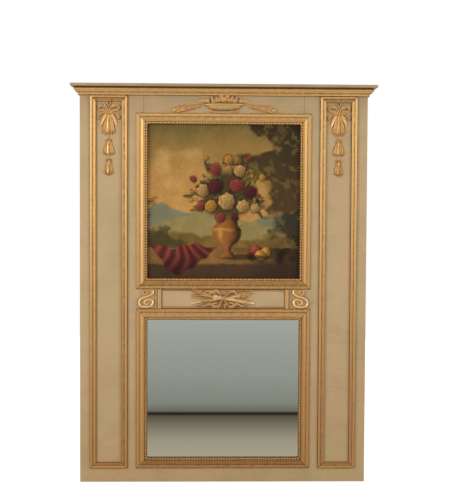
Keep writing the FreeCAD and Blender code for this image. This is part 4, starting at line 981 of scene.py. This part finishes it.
class TRUMEAU_OT_flower_basket(bpy.types.Operator):
    """Shallow bowl heaped with flower heads, on two small scrolled feet"""
    bl_idname = "trumeau.flower_basket"
    bl_label = "Flower bowl"

    def execute(self, context):
        size = context.scene.trumeau_carving.flower * 1000
        foot = band([(28, -28), (38, -33), (54, -34), (60, -30), (54, -27), (48, -30)],
                    [5, 6, 5, 4], [5, 8, 5])
        lug = band([(62, 5), (74, 10), (92, 12), (108, 9)], [7, 13, 15, 12, 7], [6, 10, 10, 8, 5],
                   FLUTED, 30)
        leaf = band([(0, 0), (9, 5), (20, 6)], [4, 13, 9, 1], [3, 8, 3], LEAF, 16, 4)
        leaves = [moved(leaf, (x / 1000, 0, z / 1000), turn)
                  for x, z, turn in ((62, 4, 0.5), (50, 12, 1.0), (20, 22, 1.3))]
        parts = [bowl_shape(), *mirrored([foot, lug, *leaves])]
        stem = relief([(1, 1, -size), (size * 0.5, 6, -size * 0.5), (size * 0.6, 8, 0),
                       (1, 1, size * 0.6)], 9)
        for count, (x, z, grow, petals) in enumerate(BOWL_HEADS):
            head = rosette(size * grow, 13, petals, 0.7 * count)
            parts.append(moved(head, (x / 1000, -0.007, z / 1000)))
            parts.append(moved(stem, (x / 1000, 0, z / 1000)))
        low, _ = corners_of("flower_basket")
        shape = moved(joined(parts), (0, BOARD, low[2] + RIM_ABOVE_FOOT))
        add_carving("flower_basket", shape, "flower_bowl")
        return {"FINISHED"}


def garland_shape(scale):
    """A spray that grows from a thin stem to a bud: leaf pairs, two flowers, then the bud."""
    parts = [band([(0, 0), (40, -2), (80, -3), (118, -2)], [5, 7, 10, 8], [4, 7, 9, 7])]
    for count in range(5):
        grow = 0.7 + 0.13 * count
        for sign in (-1, 1):
            leaf = band([(0, 0), (9, sign * 5), (19, sign * 7), (27, sign * 4)],
                        [3, 11, 8, 1], [4, 8, 3], LEAF, 16, 2)
            spot = ((8 + 20 * count) / 1000, 0, -0.002)
            parts.append(moved(leaf, spot, scale=(grow, 1, grow)))
    for x, size in ((48, 10), (76, 13)):
        parts.append(moved(rosette(size, 13, 5, x), (x / 1000, -0.005, -0.002)))
    for x, girth in ((99, 10), (106, 12)):
        parts.append(band([(x, -girth), (x + 2, 0), (x, girth)], 5, [7, 13, 7], ROUND, 14))
    bud = relief([(1, 1, -12), (7, 8, -9), (11, 13, -2), (10, 12, 5), (5, 6, 11), (1, 1, 14)],
                 17, 6, 0.2)
    parts.append(moved(bud, (0.121, 0, -0.002), -math.pi / 2))
    return moved(joined(parts), scale=(scale, 1, scale))


class TRUMEAU_OT_garlands(bpy.types.Operator):
    """Sprays of leaves and flowers at both sides of the bowl"""
    bl_idname = "trumeau.garlands"
    bl_label = "Garlands"

    def execute(self, context):
        spray = moved(garland_shape(GARLAND_SIZE), turn=GARLAND_DROOP)
        for side, sign in SIDES:
            low, high = corners_of(f"{side}_garland")
            root = (low[0] if sign > 0 else high[0], BOARD, high[2] - GARLAND_ROOT)
            add_carving(f"{side}_garland", moved(spray, root, scale=(sign, 1, 1)))
        return {"FINISHED"}


def bow_shape(ribbon):
    """A ribbon tied in two loops, with two curled ends and two broad falls, under a small ring."""
    ring = band([(0, 12), (-5, 24), (-6, 36), (0, 44), (6, 36), (5, 24), (0, 12)], 4,
                [5, 8, 11, 12, 11, 8, 5])
    knot = relief([(3, 4, -7), (7, 11, -4), (8, 13, 0), (7, 11, 4), (3, 4, 7)], 15, 4, 0.15)
    loop = band([(3, 1), (16, 12), (32, 17), (43, 10), (38, -1), (22, -3), (4, -2)],
                [4, ribbon, ribbon * 1.1, ribbon * 0.8, ribbon, 4], [5, 10, 12, 8, 8, 4],
                FLUTED, 48)
    end = band([(5, -4), (22, -12), (36, -20), (44, -31), (38, -40), (31, -34)],
               [4, ribbon * 0.8, ribbon * 0.8, 7, 5, 3], [4, 8, 7, 9, 8, 4], FLUTED, 40)
    fall = band([(4, -6), (14, -22), (24, -40), (31, -58), (34, -66)],
                [6, ribbon * 1.4, ribbon * 1.5, ribbon * 1.1, 4], [5, 7, 7, 5, 2], FLUTED, 36)
    curl = band([(2, 3), (10, 10), (17, 21), (26, 23), (24, 16)], [3, 6, 6, 4, 3],
                [6, 10, 8, 8, 3], ROUND, 30)
    knobs = [moved(rosette(6, 9, 5), (x, 0, -0.037)) for x in (-0.041, 0.041)]
    return joined([ring, knot, *mirrored([loop, end, fall, curl]), *knobs])


class TRUMEAU_OT_bows(bpy.types.Operator):
    """Ribbon bows at the top of the pilaster panels"""
    bl_idname = "trumeau.bows"
    bl_label = "Bows"

    def execute(self, context):
        bow = bow_shape(context.scene.trumeau_carving.ribbon * 1000)
        for side, sign in SIDES:
            low, high = corners_of(f"{side}_bow")
            knot = ((low[0] + high[0]) / 2, BOARD, high[2] - KNOT_BELOW_TOP)
            add_carving(f"{side}_bow", moved(bow, knot, scale=(sign, 1, 1)))
        return {"FINISHED"}


def bell_shape(width, height, rise):
    """A bell flower hanging down from its calyx: a swelling cup and five pointed petals.

    The cup is a relief whose half width grows with the square root of the way down; the petals
    are leaf bands fanned from the calyx, the middle one foremost.
    """
    half = width / 2
    parts = [relief([(2, 3, 0), (5, 6, -3), (half * 0.34, rise * 0.7, -height * 0.2),
                     (half * 0.5, rise * 0.8, -height * 0.5),
                     (half * 0.62, rise * 0.7, -height * 0.78),
                     (half * 0.5, rise * 0.35, -height * 0.84)], 21, 5, 0.22)]
    for share, grow in ((-1, 0.86), (1, 0.86), (-0.52, 0.95), (0.52, 0.95), (0, 1.0)):
        line = [(share * 3, -2), (share * half * 0.42, -height * 0.35),
                (share * half * 0.66, -height * 0.7), (share * half, -height * grow)]
        parts.append(band(line, [4, width * 0.2, width * 0.3, width * 0.22, 1.5],
                          [3, rise * (0.95 - 0.4 * abs(share)), rise * (1.05 - 0.45 * abs(share)),
                           rise * 0.75, 3], LEAF, 22))
    calyx = band([(0, 4), (6, 1), (9, -6), (7, -13)], [3, 6, 5, 1], [3, 8, 7, 2], LEAF, 14, 2)
    return joined([*parts, *mirrored([calyx])])


# Top and height of each bell as shares of the drop, and its width against the drop's.
DROP_BELLS = ((0.0, 0.375, 1.0), (0.42, 0.27, 0.88), (0.735, 0.265, 0.68))


class TRUMEAU_OT_drops(bpy.types.Operator):
    """Three bell flowers strung below each bow"""
    bl_idname = "trumeau.drops"
    bl_label = "Flower drops"

    def execute(self, context):
        for side, _ in SIDES:
            low, high = corners_of(f"{side}_drop")
            width, _, tall = (high - low) * 1000
            parts = [band([(0, 8), (0.5, -tall * 0.5), (0, -tall * 0.9)], 4, 5, ROUND, 30)]
            for top, height, wide in DROP_BELLS:
                bell = bell_shape(width * wide, tall * height, 15 * wide ** 0.5)
                parts.append(moved(bell, (0, 0, -tall * top / 1000)))
            shape = moved(joined(parts), ((low[0] + high[0]) / 2, BOARD, high[2]))
            add_carving(f"{side}_drop", shape)
        return {"FINISHED"}


def scroll_shape(width, height, band_width):
    """A scroll bracket from its lower left corner: ground, S band and rolled eyes.

    The band is drawn for a bracket 72 by 82 mm and scaled to the real one.
    """
    edge = np.array([(28, 81.5), (19, 75), (19, 62), (24, 54), (12, 45), (3, 35), (0.5, 22), (5, 8),
                     (14, 0.5), (71.5, 0.5), (71.5, 81.5)]) / 1000
    ring = np.stack([edge[:, 0], np.zeros(len(edge)), edge[:, 1]], -1)
    ground = tube(np.stack([ring, ring + np.array([0, -0.004, 0])]), 0.5)
    curl = [(58, 80), (67, 76), (67, 66), (57, 58), (41, 51), (22, 45), (9, 35), (6, 22), (13, 10),
            (30, 6), (50, 8), (64, 18), (64, 32), (51, 39), (37, 36), (29, 27), (33, 18), (43, 17),
            (48, 23)]
    main = band(curl, [8, *[band_width] * 4, band_width * 0.75, 7],
                [8, 13, 14, 15, 13, 11, 10, 12], ROUND, 150)
    a = np.linspace(0, 2 * math.pi, 15)
    eye = band(np.stack([33 + 9 * np.cos(a), 68 + 9 * np.sin(a)], -1), 7.5, 13)
    heart = moved(rosette(4, 12, 5), (0.043, -0.002, 0.024))
    return moved(joined([ground, main, eye, heart]), scale=(width / 72, 1, height / 82))


class TRUMEAU_OT_scrolls(bpy.types.Operator):
    """Scroll brackets at the two ends of the tablet"""
    bl_idname = "trumeau.scrolls"
    bl_label = "Scroll brackets"

    def execute(self, context):
        size = context.scene.trumeau_carving.scroll_band * 1000
        for side, sign in SIDES:
            low, high = corners_of(f"{side}_scroll")
            width, _, height = (high - low) * 1000
            corner = (low[0] if sign < 0 else high[0], BOARD, low[2])
            shape = moved(scroll_shape(width, height, size), corner, scale=(-sign, 1, 1))
            add_carving(f"{side}_scroll", shape)
        return {"FINISHED"}


def torch_shape(half):
    """A torch lying along X: shaft, cup with rings, and a flame of three tongues."""
    parts = [relief([(2, 3, -half), (4, 6, -half + 8), (5, 8, -half * 0.3), (6, 9, half * 0.25),
                     (8, 11, half * 0.3), (8, 11, half * 0.34), (6, 9, half * 0.36),
                     (10, 13, half * 0.46), (10, 13, half * 0.5), (4, 5, half * 0.52)], 17)]
    for aside, tall in ((-7, 0.86), (7, 0.88), (0, 1.0)):
        line = [(0, half * 0.48), (aside * 1.2, half * 0.62), (aside * 0.6, half * 0.76),
                (aside * 1.3, half * tall)]
        parts.append(band(line, [8, 13, 8, 1], [8, 13, 8, 2], LEAF, 24))
    return moved(joined(parts), turn=-math.pi / 2)


def quiver_shape(half):
    """A quiver lying along X with a banded case and a fan of feathered arrows."""
    parts = [relief([(4, 5, -half * 0.96), (6, 9, -half * 0.9), (8, 11, -half * 0.3),
                     (11, 14, half * 0.2), (12, 15, half * 0.23), (12, 15, half * 0.29),
                     (9, 12, half * 0.31)], 17)]
    for z in (-0.75 * half, -0.35 * half, 0.05 * half):
        parts.append(band([(-10, z), (0, z - 1.5), (10, z)], 4, [8, 16, 8], ROUND, 12))
    for aside in (-9, -3, 4, 10):
        parts.append(band([(aside * 0.4, half * 0.28), (aside * 1.2, half * 0.62)], 3, 9, ROUND, 8))
        feather = [(aside * 1.1, half * 0.56), (aside * 1.5, half * 0.75),
                   (aside * 1.9, half * 0.98)]
        parts.append(band(feather, [3, 9, 8, 2], [8, 13, 10, 3], LEAF, 16))
    return moved(joined(parts), turn=-math.pi / 2)


# Root, tip and size in millimetres of each leaf spray, at the left and at the right of the knot.
SPRAYS = {
    -1: ((30, 4, 104, 14, 50), (26, -8, 96, -16, 46), (22, 14, 82, 32, 48), (14, -18, 66, -34, 46),
         (8, -20, 26, -46, 50), (-6, -20, -8, -44, 46), (10, 18, 40, 38, 44)),
    1: ((34, 6, 112, 10, 30), (30, -4, 122, -14, 28), (12, 16, 52, 36, 42), (18, -18, 62, -34, 38)),
}


class TRUMEAU_OT_trophy(bpy.types.Operator):
    """Torch and quiver crossed on the tablet, tied with a fluttering ribbon"""
    bl_idname = "trumeau.trophy"
    bl_label = "Trophy"

    def execute(self, context):
        low, high = corners_of("trophy")
        half = (high[0] - low[0]) * 500
        upper = band([(4, 2), (20, 24), (44, 30), (62, 16), (80, 24), (94, 14)],
                     [5, 8, 9, 8, 7, 2], [9, 13, 9, 12, 8, 3], FLUTED, 50, 6)
        lower = band([(4, -3), (18, -26), (38, -34), (58, -22), (80, -32), (98, -24)],
                     [5, 8, 9, 9, 7, 2], [9, 12, 8, 11, 7, 3], FLUTED, 50, 8)
        shaft = band([(-half * 0.9, 0), (0, 0), (half * 0.8, 0)], 3.2, [8, 11, 8], ROUND, 12, 5)
        parts = [moved(torch_shape(half), turn=TORCH_TILT),
                 moved(quiver_shape(half), turn=-TORCH_TILT, scale=(-1, 1, 1)),
                 moved(rosette(12, 19, 6), (0, -0.008, 0)), *mirrored([upper, lower])]
        for sign, sprays in SPRAYS.items():
            parts.append(moved(shaft, turn=sign * SHAFT_TILT))
            for x, z, end_x, end_z, size in sprays:
                line = [(sign * x, z), (sign * (x + end_x) / 2, (z + end_z) / 2 + 4),
                        (sign * end_x, end_z)]
                parts.append(band(line, [3, size * 0.28, size * 0.22, 1.5], [5, 9, 7, 3], LEAF, 20,
                                  [2, 6, 9]))
        middle = ((low[0] + high[0]) / 2, BOARD, (low[2] + high[2]) / 2)
        points, faces, lift = moved(joined(parts), middle)
        # The lift is raised all over, for less painted shade and more painted highlight.
        add_carving("trophy", (points, faces, 0.1 + 0.95 * lift))
        return {"FINISHED"}


def canvas_shape(low, high, cells, thick=0.001):
    """The canvas: a grid of points for its face, and its four edges folded back.

    The outline of the grid is repeated three times, each ring joined to the one before it: at the
    back of the fold, at the back again one thickness further in, and inside at the face.
    """
    level, across = np.meshgrid(np.linspace(low[2], high[2], cells),
                                np.linspace(low[0], high[0], cells), indexing="ij")
    face = np.stack([across, np.full_like(across, low[1]), level], -1).reshape(-1, 3)
    index = np.arange(cells * cells).reshape(cells, cells)
    border = np.concatenate([index[0, :-1], index[:-1, -1], index[-1, :0:-1], index[:0:-1, 0]])
    middle = (low + high) / 2
    inner = (face[border] - middle) * (1 - 2 * thick / (high - low)) + middle
    folds = ((face[border], high[1]), (inner, high[1]), (inner, low[1] + thick))
    rings = [np.stack([ring[:, 0], np.full(len(border), depth), ring[:, 2]], -1)
             for ring, depth in folds]
    ids = [border, *(len(face) + np.arange(3 * len(border)).reshape(3, -1))]
    faces = [grid_faces(cells, cells, False)]
    for here, after in zip(ids, ids[1:]):
        faces.append(np.stack([here, np.roll(here, -1), np.roll(after, -1), after], -1))
    points = np.concatenate([face, *rings])
    return points, [*faces, ids[-1][None]], np.zeros(len(points))


class TRUMEAU_OT_painting(bpy.types.Operator):
    """The painted canvas: a grid of coloured points, folded back at its four edges"""
    bl_idname = "trumeau.painting"
    bl_label = "Painting"

    def execute(self, context):
        cells = 290
        shape = canvas_shape(*corners_of("painting_canvas"), cells)
        piece = add_piece("painted_canvas", shape, finish(oil_on_linen), "painting_canvas")
        tones = np.ones((len(shape[0]), 4))
        tones[:, :3] = context.scene.trumeau_colours.linen
        tones[:cells * cells, :3] = flower_picture(cells, cells).reshape(-1, 3)
        layer = piece.data.attributes.new("picture", "FLOAT_COLOR", "POINT")
        layer.data.foreach_set("color", tones.astype(np.float32).ravel())
        return {"FINISHED"}


class TRUMEAU_OT_mirror(bpy.types.Operator):
    """The silvered plate in the lower opening"""
    bl_idname = "trumeau.mirror"
    bl_label = "Mirror plate"

    def execute(self, context):
        dress(("mirror_plate",), finish(silvered_plate_glass))
        return {"FINISHED"}


def ring_shape(low, high, wire):
    """A ring of round wire hanging between two corners: a half circle below, two short bends above.

    The wire's section is a circle carried along the closed path, square to it.
    """
    axis = np.array([(low[0] + high[0]) / 2, (low[1] + high[1]) / 2, high[2] - RING_REACH])
    half = (high[0] - low[0]) / 2 - RING_REACH
    drop = high[2] - low[2] - 2 * RING_REACH
    a = np.linspace(0, math.pi, 17)
    lower = np.stack([half * np.cos(a), -(drop - half) - half * np.sin(a)], -1)
    bend = np.radians([180, 150, 120, 90])
    left = np.stack([RING_CORNER * (1 + np.cos(bend)) - half, RING_CORNER * (np.sin(bend) - 1)], -1)
    path = np.concatenate([lower, left, left[::-1] * np.array([-1, 1])])
    along = np.roll(path, -1, 0) - np.roll(path, 1, 0)
    along /= np.linalg.norm(along, axis=1)[:, None]
    v = np.linspace(0, 2 * math.pi, 12, endpoint=False)
    x = path[:, :1] - along[:, 1:] * wire * np.cos(v)
    z = path[:, 1:] + along[:, :1] * wire * np.cos(v)
    y = np.broadcast_to(wire * np.sin(v), x.shape)
    points = (np.stack([x, y, z], -1) + axis).reshape(-1, 3)
    faces = grid_faces(len(path) + 1, len(v)) % len(points)
    return points, [faces], np.ones(len(points))


class TRUMEAU_OT_hangers(bpy.types.Operator):
    """Nails, hanger straps and the two rings of round wire that swing in them"""
    bl_idname = "trumeau.hangers"
    bl_label = "Nails and hangers"

    def execute(self, context):
        dress(("keeper_nails", "hanger_nails", "left_hanger_strap", "right_hanger_strap"),
              finish(forged_steel_dark))
        wire = context.scene.trumeau_carving.ring_wire
        for side, _ in SIDES:
            low, high = corners_of(f"{side}_hanger_ring")
            add_piece(f"wire_{side}_ring", ring_shape(low, high, wire),
                      finish(forged_steel_dark), f"{side}_hanger_ring", f"{side}_ring")
        return {"FINISHED"}


# ---------------------------------------------------------------- the stage

# Distance from the wall in metres and tone of the mirror's painted reflection: a pale floor that
# falls into painted shade, the dark joint at the foot of a grey backdrop, and the backdrop,
# lighter as it rises.
FLOOR_REFLECTION_TONES = ((0.5, "a8a08e"), (0.85, "9c9683"), (1.5, "565043"), (1.555, "1e1810"),
               (1.59, "1e1810"), (1.64, "6a675c"), (1.9, "82857c"), (2.9, "91958e"),
               (6.4, "a2a6a0"))
FLOOR_REACH = 8.0       # metres in front of the wall that the tones cover
BACKDROP_GLOW = 0.75    # lifts the floor and the far wall to white for the camera
REFLECTED_GLOW = 1.1    # strength of the glow of the painted reflection


def backdrop(tree, shade):
    """White to the camera; a glowing painted reflection of the shade; a plain pale surface for
    other light.
    """
    path = add_node(tree, "LightPath")
    pale = add_node(tree, "BsdfDiffuse", {"Color": (0.8, 0.8, 0.8, 1)})
    white = add_node(tree, "Emission", {"Color": (1, 1, 1, 1), "Strength": BACKDROP_GLOW})
    seen = add_node(tree, "AddShader", {0: pale, 1: white})
    glow = add_node(tree, "Emission", {"Color": shade, "Strength": REFLECTED_GLOW})
    plain = add_node(tree, "MixShader", {0: path.outputs["Is Camera Ray"], 1: pale, 2: seen})
    return add_node(tree, "MixShader", {0: path.outputs["Is Glossy Ray"], 1: plain, 2: glow})


def studio_floor(tree):
    """Pale floor; the mirror shows painted, glowing studio tones one after another with distance.
    """
    place = add_node(tree, "TexCoord").outputs["Object"]
    away = add_node(tree, "SeparateXYZ", {0: place}).outputs[1]
    ramp = add_node(tree, "ValToRGB", {0: add_node(tree, "MapRange", {0: away, 2: -FLOOR_REACH})})
    stops = ramp.color_ramp.elements
    for distance, code in FLOOR_REFLECTION_TONES[1:-1]:
        stops.new(distance / FLOOR_REACH).color = opaque(linear(code))
    for end, (distance, code) in ((stops[0], FLOOR_REFLECTION_TONES[0]), (stops[-1], FLOOR_REFLECTION_TONES[-1])):
        end.position = distance / FLOOR_REACH
        end.color = opaque(linear(code))
    return backdrop(tree, ramp.outputs[0])


def studio_far_wall(tree):
    """A grey studio wall, a little paler as it rises, seen only in reflections, as a glowing
    painted reflection.
    """
    place = add_node(tree, "TexCoord").outputs["Object"]
    height = add_node(tree, "SeparateXYZ", {0: place}).outputs[2]
    share = add_node(tree, "MapRange", {0: height, 2: 3.0})
    return backdrop(tree, add_node(tree, "Mix", {0: share, 6: opaque(linear("a2a6a0")),
                                                 7: opaque(linear("b2b2ac"))}, data_type="RGBA"))


# Name, place, width and height in metres, and power in watts of each softbox.
SOFTBOXES = (("left_softbox", (-3.0, -2.6, 1.9), (1.2, 2.2), 62),
             ("right_softbox", (3.1, -2.6, 1.9), (1.2, 2.2), 46))
LIT_SPOT = (0, 0, 1.0)


class TRUMEAU_OT_stage(bpy.types.Operator):
    """Floor, studio wall, lamps, world and camera"""
    bl_idname = "trumeau.stage"
    bl_label = "Stage"

    def execute(self, context):
        scene = context.scene
        scene.view_settings.view_transform = "Standard"
        half, depth, tall, sunk = 9.0, 7.5, 5.0, -0.001
        for name, corners, surface in (
                ("floor", ((-half, -depth, sunk), (half, -depth, sunk), (half, tall, sunk),
                           (-half, tall, sunk)), studio_floor),
                ("far_wall", ((-half, -depth, 0), (half, -depth, 0), (half, -depth, tall),
                              (-half, -depth, tall)), studio_far_wall)):
            mesh = bpy.data.meshes.new(name)
            mesh.from_pydata(corners, [], [(0, 1, 2, 3)])
            mesh.materials.append(finish(surface))
            sheet = bpy.data.objects.new(name, mesh)
            scene.collection.objects.link(sheet)
        self.world(scene)
        for name, spot, size, power in SOFTBOXES:
            lamp = bpy.data.lights.new(name, "AREA")
            lamp.shape = "RECTANGLE"
            lamp.size, lamp.size_y = size
            lamp.energy = power
            holder = bpy.data.objects.new(name, lamp)
            turn = (Vector(LIT_SPOT) - Vector(spot)).to_track_quat("-Z", "Y").to_matrix().to_4x4()
            holder.matrix_world = Matrix.Translation(spot) @ turn
            scene.collection.objects.link(holder)
        self.camera(scene)
        return {"FINISHED"}

    def world(self, scene):
        """White behind everything for the camera, and an even pale light from all round."""
        world = bpy.data.worlds.new("studio")
        scene.world = world
        world.use_nodes = True
        tree = world.node_tree
        tree.nodes.clear()
        path = add_node(tree, "LightPath")
        room = add_node(tree, "Background", {0: opaque(linear("fbf8f2")), 1: 0.55})
        white = add_node(tree, "Background", {0: (1, 1, 1, 1)})
        mix = add_node(tree, "MixShader", {0: path.outputs["Is Camera Ray"], 1: room, 2: white})
        add_node(tree, "OutputWorld", {0: mix})

    def camera(self, scene):
        """The photograph's view: turned aside, tilted down, then rolled about the line of sight."""
        sizes = scene.trumeau_stage
        aside, down, roll = sizes.aside, sizes.down, sizes.roll
        ahead = Vector((math.sin(aside) * math.cos(down), math.cos(aside) * math.cos(down),
                        -math.sin(down)))
        right = Vector((math.cos(aside), -math.sin(aside), 0))
        up = right.cross(ahead)
        across = right * math.cos(roll) + up * math.sin(roll)
        upward = up * math.cos(roll) - right * math.sin(roll)
        data = bpy.data.cameras.new("camera")
        data.sensor_fit = "HORIZONTAL"
        data.sensor_width = 36
        data.lens = sizes.lens
        eye = bpy.data.objects.new("camera", data)
        turn = Matrix((across, upward, -ahead)).transposed().to_4x4()
        eye.matrix_world = Matrix.Translation(sizes.place) @ turn
        scene.collection.objects.link(eye)
        scene.camera = eye


# ---------------------------------------------------------------- add-on

OPERATORS = (
    TRUMEAU_OT_stage, TRUMEAU_OT_boards, TRUMEAU_OT_middle_frames, TRUMEAU_OT_pilaster_frames,
    TRUMEAU_OT_tablet, TRUMEAU_OT_cornice, TRUMEAU_OT_flower_basket, TRUMEAU_OT_garlands,
    TRUMEAU_OT_bows, TRUMEAU_OT_drops, TRUMEAU_OT_scrolls, TRUMEAU_OT_trophy, TRUMEAU_OT_painting,
    TRUMEAU_OT_mirror, TRUMEAU_OT_hangers,
)


class TRUMEAU_PT_panel(bpy.types.Panel):
    """Lists the settings and the pieces of the trumeau mirror"""
    bl_label = "Trumeau mirror"
    bl_idname = "TRUMEAU_PT_panel"
    bl_space_type = "VIEW_3D"
    bl_region_type = "UI"
    bl_category = "Trumeau"

    def draw(self, context):
        for name in GROUPS:
            box = self.layout.box()
            for prop in getattr(context.scene, name).bl_rna.properties:
                if not prop.is_readonly and prop.identifier != "name":
                    box.prop(getattr(context.scene, name), prop.identifier)
        for operator in OPERATORS:
            self.layout.operator(operator.bl_idname)


GROUPS = {
    "trumeau_colours": TrumeauColours,
    "trumeau_mouldings": TrumeauMouldings,
    "trumeau_carving": TrumeauCarving,
    "trumeau_stage": TrumeauStage,
}


def register():
    """Registers the settings, the operators and the panel."""
    for name, group in GROUPS.items():
        bpy.utils.register_class(group)
        setattr(bpy.types.Scene, name, PointerProperty(type=group))
    for cls in (*OPERATORS, TRUMEAU_PT_panel):
        bpy.utils.register_class(cls)


def unregister():
    """Takes the panel, the operators and the settings away again."""
    for cls in (TRUMEAU_PT_panel, *reversed(OPERATORS)):
        bpy.utils.unregister_class(cls)
    for name, group in GROUPS.items():
        delattr(bpy.types.Scene, name)
        bpy.utils.unregister_class(group)


def main():
    """Builds the scene piece by piece."""
    register()
    for operator in OPERATORS:
        group, name = operator.bl_idname.split(".")
        getattr(getattr(bpy.ops, group), name)()
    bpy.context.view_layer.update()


if __name__ == "__main__":
    main()
